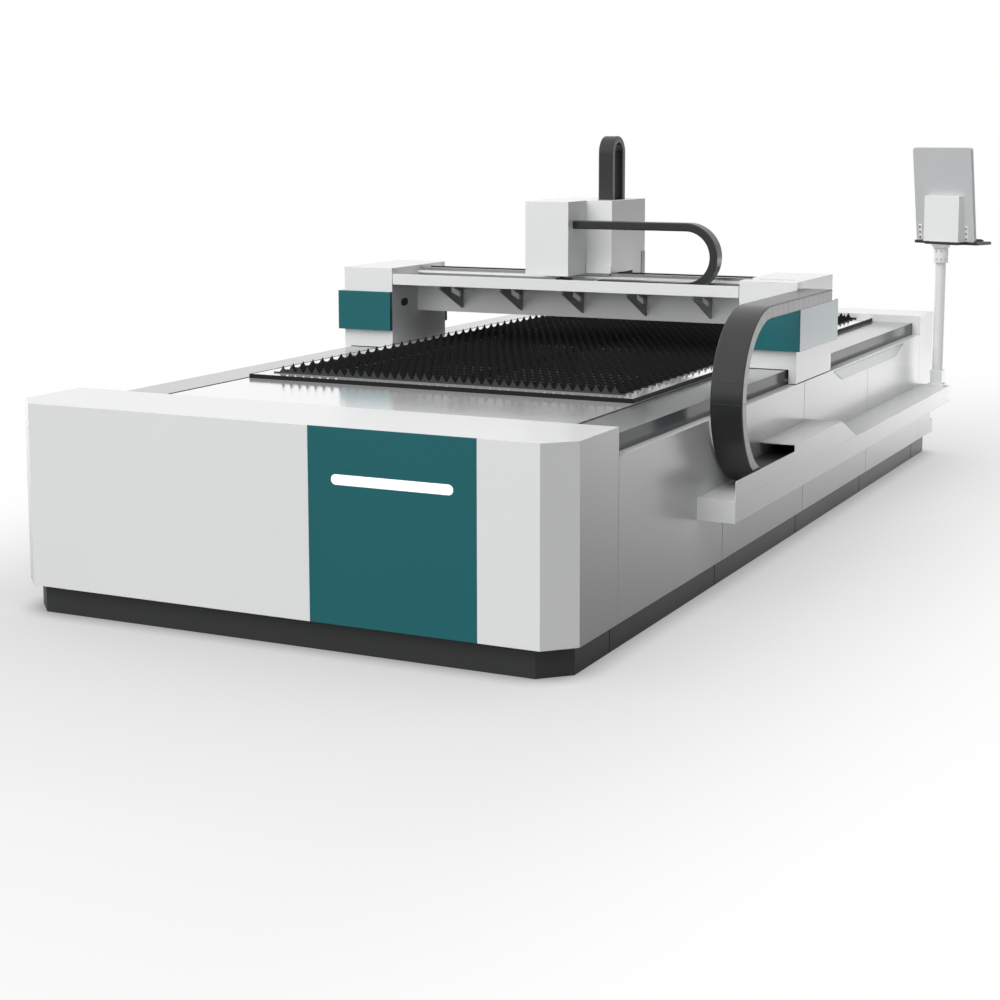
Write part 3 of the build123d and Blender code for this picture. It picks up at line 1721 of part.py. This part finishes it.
# Stop button: mushroom head and stem
with BuildPart(monitor_plane) as stop_button:
    with Locations(Location((button_u, monitor_depth + button_travel_gap, button_h), (-90, 0, 0))):
        Cylinder(button_radius, button_height, align=(Align.CENTER, Align.CENTER, Align.MIN))
        Cylinder(
            button_stem_radius,
            button_stem_length + button_travel_gap,
            align=(Align.CENTER, Align.CENTER, Align.MAX),
        )
stop_button.part.label = "stop_button"
export_step(stop_button.part, "parts/stop_button.step")
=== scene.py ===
import json
from math import radians

import bpy
import numpy as np
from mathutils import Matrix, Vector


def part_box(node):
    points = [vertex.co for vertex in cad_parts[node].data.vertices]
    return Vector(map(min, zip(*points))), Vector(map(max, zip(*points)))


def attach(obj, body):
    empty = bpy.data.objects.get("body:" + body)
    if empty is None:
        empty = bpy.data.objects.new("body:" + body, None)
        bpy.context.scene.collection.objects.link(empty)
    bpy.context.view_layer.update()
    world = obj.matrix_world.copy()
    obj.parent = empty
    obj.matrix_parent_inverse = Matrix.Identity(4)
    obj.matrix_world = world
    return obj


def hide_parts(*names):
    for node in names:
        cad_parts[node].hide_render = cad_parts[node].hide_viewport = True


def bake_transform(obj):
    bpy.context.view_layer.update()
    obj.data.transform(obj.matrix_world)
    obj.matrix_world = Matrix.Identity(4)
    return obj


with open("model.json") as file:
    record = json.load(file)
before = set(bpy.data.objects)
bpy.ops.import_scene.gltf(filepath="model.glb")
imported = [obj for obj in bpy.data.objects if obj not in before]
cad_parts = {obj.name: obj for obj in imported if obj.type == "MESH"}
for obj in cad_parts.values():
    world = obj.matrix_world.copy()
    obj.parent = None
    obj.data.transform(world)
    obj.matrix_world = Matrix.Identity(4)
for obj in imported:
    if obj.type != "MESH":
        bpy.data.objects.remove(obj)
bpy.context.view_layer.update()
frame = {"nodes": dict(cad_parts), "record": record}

MM = 0.001


# Small helpers


def linear(code):
    """Turns an sRGB hex colour into the linear values that light is worked out in."""
    tone = np.array([int(code[i:i + 2], 16) for i in (1, 3, 5)]) / 255
    bent = np.where(tone <= 0.04045, tone / 12.92, ((tone + 0.055) / 1.055) ** 2.4)
    return (*(float(c) for c in bent), 1.0)


def shaded(code, share):
    """The hex colour made lighter or darker by a share of its linear value."""
    return (*(min(1.0, c * (1 + share)) for c in linear(code)[:3]), 1.0)


def add(tree, kind, sockets=None, **settings):
    """Adds a node, gives it its settings, and puts a value or another node's output in each socket."""
    made = tree.nodes.new("ShaderNode" + kind)
    for key, value in settings.items():
        setattr(made, key, value)
    for key, value in (sockets or {}).items():
        if isinstance(value, bpy.types.NodeSocket):
            tree.links.new(value, made.inputs[key])
        else:
            made.inputs[key].default_value = value
    return made


def blank(name):
    """A material with an empty tree, its output node and Object coordinates."""
    made = bpy.data.materials.new(name)
    made.use_nodes = True
    made.node_tree.nodes.clear()
    tree = made.node_tree
    return made, tree, add(tree, "OutputMaterial"), add(tree, "TexCoord").outputs["Object"]


# Finishes


def coat(
    name,
    code,
    rough,
    grain=6.0,
    depth=0.02,
    tone=0.025,
    spread=0.05,
    edge=2.5,
    ior=1.5,
    varnish=0.0,
    sides=1.0,
):
    """Sprayed or moulded skin: a colour that clouds a little over half a metre, roughness that follows
    the clouds, and a pebbled surface of grain mm. Real orange peel is under 1 mm and would not show,
    so it is drawn coarser. Folded edges catch the light as if rounded by edge mm. Varnish is a clear
    coat, and sides is the share of the gloss left on upright faces, which nobody wipes."""
    made, tree, out, place = blank(name)
    cloud = add(tree, "TexNoise", {"Vector": place, "Scale": 2.2, "Detail": 3.0}).outputs[0]
    grit = add(tree, "TexNoise", {"Vector": place, "Scale": 1 / (grain * MM), "Detail": 2.0}).outputs[0]
    dark, light = shaded(code, -tone), shaded(code, tone)
    paint = add(tree, "Mix", {"Factor": cloud, "A": dark, "B": light}, data_type="RGBA")
    gloss = add(tree, "MapRange", {"Value": cloud, "To Min": rough - spread, "To Max": rough + spread})
    shine, clear = 0.5, varnish
    if sides < 1:
        facing = add(tree, "SeparateXYZ", {0: add(tree, "TexCoord").outputs["Normal"]}).outputs["Z"]
        shine, clear = (
            add(tree, "MapRange", {"Value": facing, "To Min": full * sides, "To Max": full}).outputs[0]
            for full in (shine, clear)
        )
    fold = add(tree, "Bevel", {"Radius": edge * MM}, samples=4)
    peel = add(
        tree,
        "Bump",
        {"Height": grit, "Distance": depth * MM, "Strength": 1.0, "Normal": fold.outputs[0]},
    )
    skin = add(
        tree,
        "BsdfPrincipled",
        {
            "Base Color": paint.outputs["Result"],
            "Roughness": gloss.outputs[0],
            "IOR": ior,
            "Specular IOR Level": shine,
            "Coat Weight": clear,
            "Coat Roughness": rough,
            "Coat IOR": 1.6,
            "Normal": peel.outputs[0],
        },
    )
    tree.links.new(skin.outputs[0], out.inputs[0])
    return made


def metal(name, code, rough, run=(1.0, 1.0, 1.0), line=1.2, depth=0.01, tone=0.06, metallic=1.0):
    """Bare worked metal: fine cutter or brush lines about line mm apart, drawn out along the axis whose
    run is small, with roughness and tone that follow the lines. A run of ones gives cast grain."""
    spread, edge = 0.08, 1.5
    made, tree, out, place = blank(name)
    turn = add(tree, "Mapping", {"Vector": place, "Scale": run}).outputs[0]
    lines = add(tree, "TexNoise", {"Vector": turn, "Scale": 1 / (line * MM), "Detail": 2.0}).outputs[0]
    dark, light = shaded(code, -tone), shaded(code, tone)
    face = add(tree, "Mix", {"Factor": lines, "A": dark, "B": light}, data_type="RGBA")
    gloss = add(tree, "MapRange", {"Value": lines, "To Min": rough - spread, "To Max": rough + spread})
    fold = add(tree, "Bevel", {"Radius": edge * MM}, samples=4)
    score = add(tree, "Bump", {"Height": lines, "Distance": depth * MM, "Normal": fold.outputs[0]})
    skin = add(
        tree,
        "BsdfPrincipled",
        {
            "Base Color": face.outputs["Result"],
            "Metallic": metallic,
            "Roughness": gloss.outputs[0],
            "Normal": score.outputs[0],
        },
    )
    tree.links.new(skin.outputs[0], out.inputs[0])
    return made


def painted_shade_behind(made, half, front, cover):
    """Painted shade: a dull black over a finish, standing in for the shade between and under the blades,
    within half metres of the middle and behind front.
    It hides the share cover of the finish and thins out over 15 mm."""
    fade = 15 * MM
    tree = made.node_tree
    end = tree.nodes["Material Output"].inputs[0]
    place = add(tree, "SeparateXYZ", {0: add(tree, "TexCoord").outputs["Object"]}).outputs
    aside = add(tree, "Math", {0: place["X"]}, operation="ABSOLUTE").outputs[0]
    within = add(tree, "MapRange", {"Value": aside, "From Min": half, "From Max": half - fade}).outputs[0]
    behind = add(
        tree,
        "MapRange",
        {"Value": place["Y"], "From Min": front, "From Max": front + fade, "To Max": cover},
    ).outputs[0]
    share = add(tree, "Math", {0: within, 1: behind}, operation="MULTIPLY").outputs[0]
    # Painted shade: the dull black laid over the finish behind the front blade
    shade_black = add(tree, "BsdfDiffuse", {"Color": linear("#1B1B1B")}).outputs[0]
    both = add(tree, "MixShader", {0: share, 1: end.links[0].from_socket, 2: shade_black})
    tree.links.new(both.outputs[0], end)
    return made


def lamp_cover(name, code, glow):
    """Opal acrylic light bar: an even white with a faint glow, its gloss a little uneven."""
    made, tree, out, place = blank(name)
    haze = add(tree, "TexNoise", {"Vector": place, "Scale": 40.0, "Detail": 1.0}).outputs[0]
    gloss = add(tree, "MapRange", {"Value": haze, "To Min": 0.18, "To Max": 0.26})
    skin = add(
        tree,
        "BsdfPrincipled",
        {
            "Base Color": linear(code),
            "Roughness": gloss.outputs[0],
            "IOR": 1.49,
            "Emission Color": linear(code),
            "Emission Strength": glow,
        },
    )
    tree.links.new(skin.outputs[0], out.inputs[0])
    return made


MATERIALS = {
    # Polyester powder coat on folded steel: even satin white, soft reflections at a low angle
    "white_paint": coat(
        "powder_coat_white", "#E4E5E5", rough=0.24, depth=0.006, tone=0.015, spread=0.02, ior=1.6
    ),
    # The same coat on the deck, rubbed smoother, so that what stands on it shows in it
    "deck_coat": coat(
        "powder_coat_deck", "#E2E3E3", rough=0.12, grain=4, tone=0.02, spread=0.03, ior=1.8, varnish=1.0
    ),
    # And on the plate under the slats: a clear mirror along its rim, with painted shade in dull black between
    # the blades
    "slat_plate": painted_shade_behind(
        coat(
            "powder_coat_plate", "#E2E3E3", rough=0.06, grain=4, depth=0.004, tone=0.02, spread=0.02,
            ior=1.8, varnish=1.0,
        ),
        half=0.770, front=-1.174, cover=1.0,
    ),
    # Laser-cut mild steel blades: dull dark gray, with painted shade in dull black on all but the first one
    "slat_steel": painted_shade_behind(
        metal(
            "cut_mild_steel", "#2E2F31", rough=0.55, run=(1.0, 1.0, 0.25), line=5.0, depth=0.05, tone=0.2,
            metallic=0.2,
        ),
        half=2.0, front=-1.165, cover=0.75,
    ),
    # Powder coat in teal: deep and even, a little glossier than the white
    "accent_paint": coat(
        "powder_coat_teal", "#1B6167", rough=0.20, depth=0.006, tone=0.03, spread=0.02, ior=1.52
    ),
    # Powder coat in charcoal on the plinth: matt, with light only along its edges
    "dark_paint": coat("powder_coat_charcoal", "#2D2E2E", rough=0.42, tone=0.06),
    # Varnished gray enamel on the rail covers: tops that mirror the studio, dull upright faces
    "gray_paint": coat(
        "enamel_gray", "#6A6C6E", rough=0.16, depth=0.006, tone=0.03, spread=0.03, varnish=0.6, sides=0.08
    ),
    # Mild steel with its rolling scale: near black, with a faint uneven sheen
    "black_steel": metal(
        "scaled_mild_steel", "#0E0E0F", rough=0.55, run=(1.0, 1.0, 0.25), line=5.0, depth=0.05, tone=0.25,
        metallic=0.35,
    ),
    # Nylon chain links moulded with a fine spark-eroded texture: black with a soft broad sheen
    "chain_plastic": coat(
        "moulded_nylon", "#1C1D1E", rough=0.30, grain=5, depth=0.012, tone=0.05, spread=0.04, edge=2.0,
        ior=1.6,
    ),
    # Ground steel of rails, racks and screws: bright, with lines along its length
    "machine_steel": metal("ground_steel", "#B5B7B9", rough=0.26, run=(1.0, 0.03, 1.0)),
    # Cast iron under primer: dark gray, rough, with rounded edges
    "cast_metal": coat(
        "primed_casting", "#4A4B4D", rough=0.62, grain=7, depth=0.06, tone=0.10, spread=0.06, edge=4.0
    ),
    # Brushed aluminium: pale, with upright lines
    "light_metal": metal("brushed_aluminium", "#D6D8DA", rough=0.30, run=(1.0, 1.0, 0.04), line=1.6),
    # Opal acrylic of the light bar: the whitest thing on the front
    "diffuser": lamp_cover("opal_acrylic", "#FBFBFB", glow=0.35),
    # Glass over an unlit screen: flat near-black, with sharp reflections
    "screen": coat(
        "screen_glass", "#15181B", rough=0.08, grain=30, depth=0.0, tone=0.03, spread=0.02, edge=0.5, ior=1.52
    ),
    # Tinted acrylic strip: smooth blue gray
    "tinted": coat("tinted_acrylic", "#5F7278", rough=0.20, depth=0.01, tone=0.03, spread=0.03, edge=1.0),
    # Black enamel on motor cases: half gloss
    "motor_black": coat("motor_enamel", "#26272A", rough=0.34, grain=5, depth=0.015, tone=0.06),
    # Key caps moulded with a fine texture: dark gray, no gloss
    "keys": coat("textured_abs", "#2A2B2D", rough=0.48, grain=3, tone=0.04, edge=0.6),
    # Smooth red nylon of the stop button: bright and glossy
    "stop_red": coat(
        "glossy_nylon", "#C4201C", rough=0.24, grain=4, depth=0.01, tone=0.03, spread=0.04, edge=2.0
    ),
    # Monitor case of moulded ABS: pale gray, soft edges, no gloss
    "case_plastic": coat("moulded_abs", "#BFC1C2", rough=0.40, grain=3, tone=0.02, edge=3.0),
    # Matt enamel on the gussets: mid gray
    "bracket_gray": coat("enamel_bracket", "#909294", rough=0.40, depth=0.01, tone=0.03),
    # Turned copper nozzle: warm, with fine rings
    "nozzle_copper": metal("turned_copper", "#C08A4E", rough=0.24, run=(1.0, 1.0, 8.0), line=1.0),
}
# Nodes that share a slot with others but have a finish of their own
OWN_FINISH = {"deck_plates": "deck_coat", "slat_rim": "slat_plate", "gussets": "bracket_gray"}

slot_of = {row["node"]: row["material_slot"] for row in frame["record"]["subparts"]}
for node, solid in frame["nodes"].items():
    solid.data.materials.clear()
    solid.data.materials.append(MATERIALS[OWN_FINISH.get(node, slot_of[node])])


# Shapes


def piece(name, points, faces, slot, crease=None, finish=None):
    """A mesh object at the origin from an array of points in metres and lists of faces, in its slot's
    finish unless another is named. With a crease angle in degrees it is shaded smooth, apart from edges
    sharper than that."""
    mesh = bpy.data.meshes.new(name)
    mesh.from_pydata(points.reshape(-1, 3).tolist(), [], faces)
    if crease is not None:
        mesh.polygons.foreach_set("use_smooth", np.full(len(mesh.polygons), True))
        mesh.set_sharp_from_angle(angle=radians(crease))
    mesh.materials.append(MATERIALS[finish or slot])
    mesh.update()
    made = bpy.data.objects.new(name, mesh)
    bpy.context.scene.collection.objects.link(made)
    return made


def tube_faces(stations, sides, copies=1):
    """Quads between neighbouring rings of a closed profile and one face at each end, for every copy."""
    i, j = np.meshgrid(np.arange(stations - 1) * sides, np.arange(sides), indexing="ij")
    k = (j + 1) % sides
    quads = np.stack([i + j, i + k, i + sides + k, i + sides + j], -1).reshape(-1, 4)
    ring = np.arange(sides)
    ends = np.stack([ring[::-1], ring + (stations - 1) * sides])
    shift = (stations * sides * np.arange(copies))[:, None, None]
    return (quads + shift).reshape(-1, 4).tolist() + (ends + shift).reshape(-1, sides).tolist()


def studs(name, places, along, up, half, height, sides, slot, body):
    """Small raised caps, one at each place: a prism of so many sides, its rim cut back near the top.
    along and up lie in the surface, half is half the cap's size on each, and it stands up by height."""
    along, up = np.asarray(along, float), np.asarray(up, float)
    turn = 2 * np.pi * (np.arange(sides) + 0.5) / sides
    ring = np.stack([np.cos(turn), np.sin(turn)], -1) * half / np.cos(np.pi / sides)
    size = np.array([1.0, 1.0, 0.8])[:, None, None]
    rise = np.array([0.0, 0.65, 1.0])[:, None, None] * height * np.cross(along, up)
    cap = size * (ring[:, :1] * along + ring[:, 1:] * up) + rise
    points = np.asarray(places, float).reshape(-1, 1, 1, 3) + cap
    made = piece(name, points, tube_faces(3, sides, len(points)), slot)
    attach(made, body)
    return made


def band(name, path, ways, across, width, thickness, links, groove):
    """A length of chain: a rectangle with cut corners carried along a path.

    path gives the middle line and ways its outward normal at every station. The ring at each joint
    between links is drawn in by groove, so the links show as faint lines."""
    cut, crease = 4 * MM, 8
    a, b = width / 2, thickness / 2
    across_at = np.array([a - cut, a, a, a - cut, cut - a, -a, -a, cut - a])
    out_at = np.array([-b, cut - b, b - cut, b, b, b - cut, cut - b, -b])
    shrink = np.zeros(len(path))
    shrink[::(len(path) - 1) // links] = groove
    shrink = shrink[:, None]
    x_at = across_at - shrink * np.sign(across_at)
    n_at = out_at - shrink * np.sign(out_at)
    points = path[:, None, :] + x_at[..., None] * np.asarray(across) + n_at[..., None] * ways[:, None, :]
    return piece(name, points, tube_faces(len(path), len(across_at)), "chain_plastic", crease)


def link_stops(length, links, inside):
    """Stations along a run: at each joint, and so many inside each link, from lip to lip."""
    pitch = length / links
    lip = 0.03
    steps = np.append(0.0, np.linspace(lip, 1 - lip, inside))
    return np.append(((np.arange(links)[:, None] + steps) * pitch).ravel(), length)


def chain(
    node, across, width, thickness, groove, corner, radius, toward, outward, runs, links
):
    """Cable chain of two straight runs and a half-round bend, in pieces.

    corner is the bend's centre and radius its middle line. toward is the unit way from the bend to the
    runs' ends, outward the way from the centre to the moving run. runs and links are the lengths and
    link counts of the moving run, the fixed run and, for links, the bend. A run is cut into pieces of
    about three links."""
    corner, toward, outward, across = (np.asarray(v, float) for v in (corner, toward, outward, across))
    made = []
    for side, run, count, end_weight, label in (
        (1, runs[0], links[0], 1.0, "moving"),
        (-1, runs[1], links[1], 0.0, "fixed"),
    ):
        parts = max(1, count // 3)
        breaks = np.linspace(0, count, parts + 1).round().astype(int)
        pitch = run / count
        for part in range(parts):
            first, last = int(breaks[part]), int(breaks[part + 1])
            part_links = last - first
            s = first * pitch + link_stops(part_links * pitch, part_links, 2)
            path = corner + side * radius * outward + s[:, None] * toward
            ways = np.broadcast_to(side * outward, path.shape)
            name = f"{node}_{label}_{part + 1}"
            length = band(name, path, ways, side * across, width, thickness, part_links, groove)
            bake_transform(length)
            made.append(length)
    turn = link_stops(np.pi, links[2], 7)
    ways = np.cos(turn)[:, None] * outward - np.sin(turn)[:, None] * toward
    bend = band(f"{node}_bend", corner + radius * ways, ways, -across, width, thickness, links[2], groove)
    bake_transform(bend)
    made.append(bend)
    for length in made:
        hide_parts(node)


chain(
    "y_chain", across=(1, 0, 0), width=0.125, thickness=0.050, groove=0.4 * MM,
    corner=(1.1745, -0.838, 0.735), radius=0.313, toward=(0, 1, 0), outward=(0, 0, 1),
    runs=(0.813, 0.934), links=(12, 13, 14),
)
chain(
    "x_chain", across=(0, 1, 0), width=0.070, thickness=0.036, groove=0.3 * MM,
    corner=(0.562, 0.057, 1.185), radius=0.130, toward=(-1, 0, 0), outward=(0, 0, 1),
    runs=(0.533, 0.412), links=(12, 9, 9),
)
chain(
    "z_chain", across=(1, 0, 0), width=0.070, thickness=0.032, groove=0.3 * MM,
    corner=(0.065, 0.3845, 1.630), radius=0.062, toward=(0, 0, -1), outward=(0, 1, 0),
    runs=(0.330, 0.500), links=(8, 12, 5),
)


def slat_blades():
    """Toothed blades across the bed, with a low flat tab at each end. Along a blade, the top edge rises
    from each valley to a point as the 1.7th power of the distance, so the flanks are hollow. The top and
    bottom edges and two faces are one closed strip, repeated for every blade."""
    low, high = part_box("slats")
    sheet, tab, body, hollow = 0.004, 0.025, 0.005, 1.7
    count, teeth, steps = 43, 39, 8
    u = np.arange(teeth * steps + 1) / steps
    reach = high[0] - tab
    x = np.concatenate([[low[0]], -reach + 2 * reach * u / teeth, [high[0]]])
    rise = np.pad(1 - np.abs(2 * (u % 1) - 1), 1)
    valley = low[2] + body
    top = valley + (high[2] - valley) * rise ** hollow
    bottom = np.full(len(x), low[2])
    front, rear = np.full(len(x), -sheet / 2), np.full(len(x), sheet / 2)
    y = np.linspace(low[1] + sheet / 2, high[1] - sheet / 2, count)
    ring = np.stack([
        np.stack([x, front, bottom], -1),
        np.stack([x, front, top], -1),
        np.stack([x, rear, top], -1),
        np.stack([x, rear, bottom], -1),
    ], 1)
    points = ring[None] + np.stack([0 * y, y, 0 * y], -1)[:, None, None, :]
    made = piece("slat_blades", points, tube_faces(len(x), 4, count), "black_steel", finish="slat_steel")
    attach(made, "bed")
    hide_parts("slats")


def plinth_seams():
    """Dark upright lines where the plinth's sheets meet: low ridges, five a side, evenly spaced from the
    front end of the first side panel to the rear end of the last one."""
    low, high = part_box("side_panels")
    wall, middle, count = 1.070, 0.0525, 5
    along = np.linspace(low[1], high[1], count)
    for side, way in (("left", -1), ("right", 1)):
        places = np.stack([np.full(count, way * wall), along, np.full(count, middle)], -1)
        studs(
            f"plinth_seams_{side}", places, (0, way, 0), (0, 0, 1), half=(0.003, 0.0495), height=0.0008,
            sides=4, slot="black_steel", body="bed",
        )


def console_details():
    """Key caps on the keyboard, bracket plates with bolts beside the back box, and screws on the collar.

    u runs along the shelf and n to the operator. The monitor leans back, so its own upward way is the
    vertical turned away from n by the lean, and back is the way out of its rear."""
    turn, lean = radians(-22.0), radians(6.8)
    pole = np.array([1.190, 2.172, 0.0])
    upright = np.array([0.0, 0.0, 1.0])
    u = np.array([np.cos(turn), np.sin(turn), 0.0])
    n = np.array([-np.sin(turn), np.cos(turn), 0.0])
    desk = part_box("keyboard_shelf")[1][2]
    key_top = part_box("keyboard")[1][2]

    rows, columns, pitch_n, pitch_u, middle = 4, 15, 0.0138, 0.0192, 0.132
    at_n, at_u = np.meshgrid(
        middle + pitch_n * (np.arange(rows) - (rows - 1) / 2),
        pitch_u * (np.arange(columns) - (columns - 1) / 2),
        indexing="ij",
    )
    places = pole + at_u[..., None] * u + at_n[..., None] * n + key_top * upright
    studs(
        "key_caps", places, u, n, half=(0.0082, 0.0057), height=0.0035, sides=4, slot="keys", body="console"
    )

    rear_face, plate_middle, plate_sheet = 0.035, 0.045, 0.003
    bolt_heights = np.array([0.018, 0.045, 0.072])
    up = np.cos(lean) * upright - np.sin(lean) * n
    back = np.cross(u, up)
    foot = pole + desk * upright + rear_face * n
    sides = np.array([-0.152, 0.134])
    plates = foot + sides[:, None] * u + plate_middle * up
    studs(
        "bracket_plates", plates, u, up, half=(0.010, 0.040), height=plate_sheet, sides=4,
        slot="white_paint", body="console",
    )
    bolts = foot + sides[:, None, None] * u + bolt_heights[:, None] * up + plate_sheet * back
    studs(
        "bracket_bolts", bolts, u, up, half=(0.0055, 0.0055), height=0.005, sides=6,
        slot="machine_steel", body="console",
    )

    collar_radius = 0.0375
    low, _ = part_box("console_collar")
    screw_z = low[2] + np.array([0.018, 0.062])
    for number, angle in enumerate(np.radians([-115.0, -75.0, -35.0, 65.0, 105.0, 145.0])):
        out = np.array([np.cos(angle), np.sin(angle), 0.0])
        spots = pole + collar_radius * out + screw_z[:, None] * upright
        studs(
            f"collar_screws_{number + 1}", spots, np.cross(upright, out), upright, half=(0.004, 0.004),
            height=0.003, sides=6, slot="machine_steel", body="console",
        )


slat_blades()
console_details()
plinth_seams()
# A dark oval over the cable port in the left tower's inner side: painted shade for the unlit opening
studs(
    "port_shade_oval", [(-0.8475, 0.048, 0.935)], (0, 1, 0), (0, 0, 1), half=(0.0345, 0.0175), height=0.002,
    sides=24, slot="black_steel", body="gantry",
)


# Stage, light and camera


def eye_rays(tree):
    """1 for rays of the camera, of mirrors and of glass, 0 for light on its way to the object. The
    second output is 1 for mirrors alone."""
    path = add(tree, "LightPath").outputs
    seen = add(tree, "Math", {0: path["Is Camera Ray"], 1: path["Is Glossy Ray"]}, operation="ADD")
    seen = add(
        tree,
        "Math",
        {0: seen.outputs[0], 1: path["Is Transmission Ray"]},
        operation="ADD",
        use_clamp=True,
    )
    return seen.outputs[0], path["Is Glossy Ray"]


def stage():
    """A pale floor. The eye sees it white, grayer where the object shuts out the sky, in a wide patch
    round it and in a narrow line where it stands. Glossy surfaces see it dimmer towards the front, as
    with a gray card there, and it throws back less light there too."""
    made, tree, out, place = blank("studio_floor")
    seen, mirrored = eye_rays(tree)

    # Shade: a wide patch that thins out away from the object, times the sky shut out within 1.6 m and
    # within 0.1 m
    half_size, stretch = (1.1, 2.43, 0.0), (2.4, 0.85, 0.0)
    far = add(tree, "VectorMath", {0: place}, operation="ABSOLUTE")
    far = add(tree, "VectorMath", {0: far.outputs[0], 1: half_size}, operation="SUBTRACT")
    far = add(tree, "VectorMath", {0: far.outputs[0], 1: (0.0, 0.0, 0.0)}, operation="MAXIMUM")
    far = add(tree, "VectorMath", {0: far.outputs[0], 1: stretch}, operation="MULTIPLY")
    far = add(tree, "VectorMath", {0: far.outputs[0]}, operation="LENGTH").outputs["Value"]
    tone = add(
        tree,
        "MapRange",
        {"Value": far, "From Max": 3.2, "To Min": 0.85},
        interpolation_type="SMOOTHSTEP",
    )
    for distance, samples, shut, least in ((1.6, 12, 0.35, 0.69), (0.1, 6, 0.5, 0.6)):
        sky_seen = add(tree, "AmbientOcclusion", {"Distance": distance}, samples=samples).outputs["AO"]
        shade = add(
            tree,
            "MapRange",
            {"Value": sky_seen, "From Min": shut, "From Max": 1.0, "To Min": least},
        )
        tone = add(tree, "Math", {0: tone.outputs[0], 1: shade.outputs[0]}, operation="MULTIPLY")

    # What mirrors see: a rise from the front to the rear, a dip behind the machine, and a fall far off
    along = add(tree, "SeparateXYZ", {0: place}).outputs["Y"]
    rise, dip, fall, albedo = (
        add(
            tree,
            "MapRange",
            {"Value": along, "From Min": start, "From Max": end, "To Min": first, "To Max": last},
        ).outputs[0]
        for start, end, first, last in (
            (-3.0, 7.0, 0.3, 3.1),
            (5.5, 7.5, 1.0, 0.68),
            (15.0, 20.0, 1.0, 0.3),
            (-2.6, 5.0, 0.12, 0.8),
        )
    )
    card = add(tree, "Math", {0: rise, 1: dip}, operation="MULTIPLY")
    card = add(tree, "Math", {0: card.outputs[0], 1: fall}, operation="MULTIPLY")
    strength = add(tree, "Mix", {"Factor": mirrored, "A": 1.0, "B": card.outputs[0]})
    shown = add(tree, "Emission", {"Color": tone.outputs[0], "Strength": strength.outputs[0]})
    bounce = add(tree, "BsdfDiffuse", {"Color": albedo})
    both = add(tree, "MixShader", {0: seen, 1: bounce.outputs[0], 2: shown.outputs[0]})
    tree.links.new(both.outputs[0], out.inputs[0])

    reach = 60.0
    corners = [(-reach, -reach, 0), (reach, -reach, 0), (reach, reach, 0), (-reach, reach, 0)]
    mesh = bpy.data.meshes.new("floor")
    mesh.from_pydata(corners, [], [(0, 1, 2, 3)])
    mesh.materials.append(made)
    floor = bpy.data.objects.new("floor", mesh)
    bpy.context.scene.collection.objects.link(floor)


def sky():
    """A white studio for the eye and for reflections, and a dimmer even light on the object."""
    white, even_light = (1, 1, 1, 1), 0.14
    world = bpy.data.worlds.new("studio")
    bpy.context.scene.world = world
    world.use_nodes = True
    tree = world.node_tree
    tree.nodes.clear()
    seen, _ = eye_rays(tree)
    dim = add(tree, "Background", {"Color": white, "Strength": even_light})
    bright = add(tree, "Background", {"Color": white, "Strength": 1.0})
    both = add(tree, "MixShader", {0: seen, 1: dim.outputs[0], 2: bright.outputs[0]})
    tree.links.new(both.outputs[0], add(tree, "OutputWorld").inputs[0])


def sun(name, power, place, turn, spread):
    """A wide soft lamp, drawn at a place in metres, turned by degrees and spread over degrees of sky. No
    surface mirrors it."""
    light = bpy.data.lights.new(name, "SUN")
    light.energy = power
    light.angle = radians(spread)
    made = bpy.data.objects.new(name, light)
    made.location = place
    made.rotation_euler = [radians(a) for a in turn]
    made.visible_glossy = False
    bpy.context.scene.collection.objects.link(made)


stage()
sky()
sun("key_sun", 2.95, (-3, -6, 8), turn=(33, 0, -20), spread=60)
sun("front_sun", 1.22, (-2, -9, 2), turn=(80, 0, -9), spread=40)

# The photograph's view, with its tilt down and its turn in degrees
tilt_down, turned = 7.575, 25.674
view = bpy.data.cameras.new("photo_view")
view.lens = 66.6
view.sensor_width = 36
view.shift_x = -0.014
view.shift_y = -0.1184
camera = bpy.data.objects.new("photo_view", view)
camera.location = (3.379, -7.553, 1.710)
camera.rotation_euler = (radians(90 - tilt_down), 0, radians(turned))
bpy.context.scene.collection.objects.link(camera)
bpy.context.scene.camera = camera
bpy.context.scene.view_settings.view_transform = "Standard"
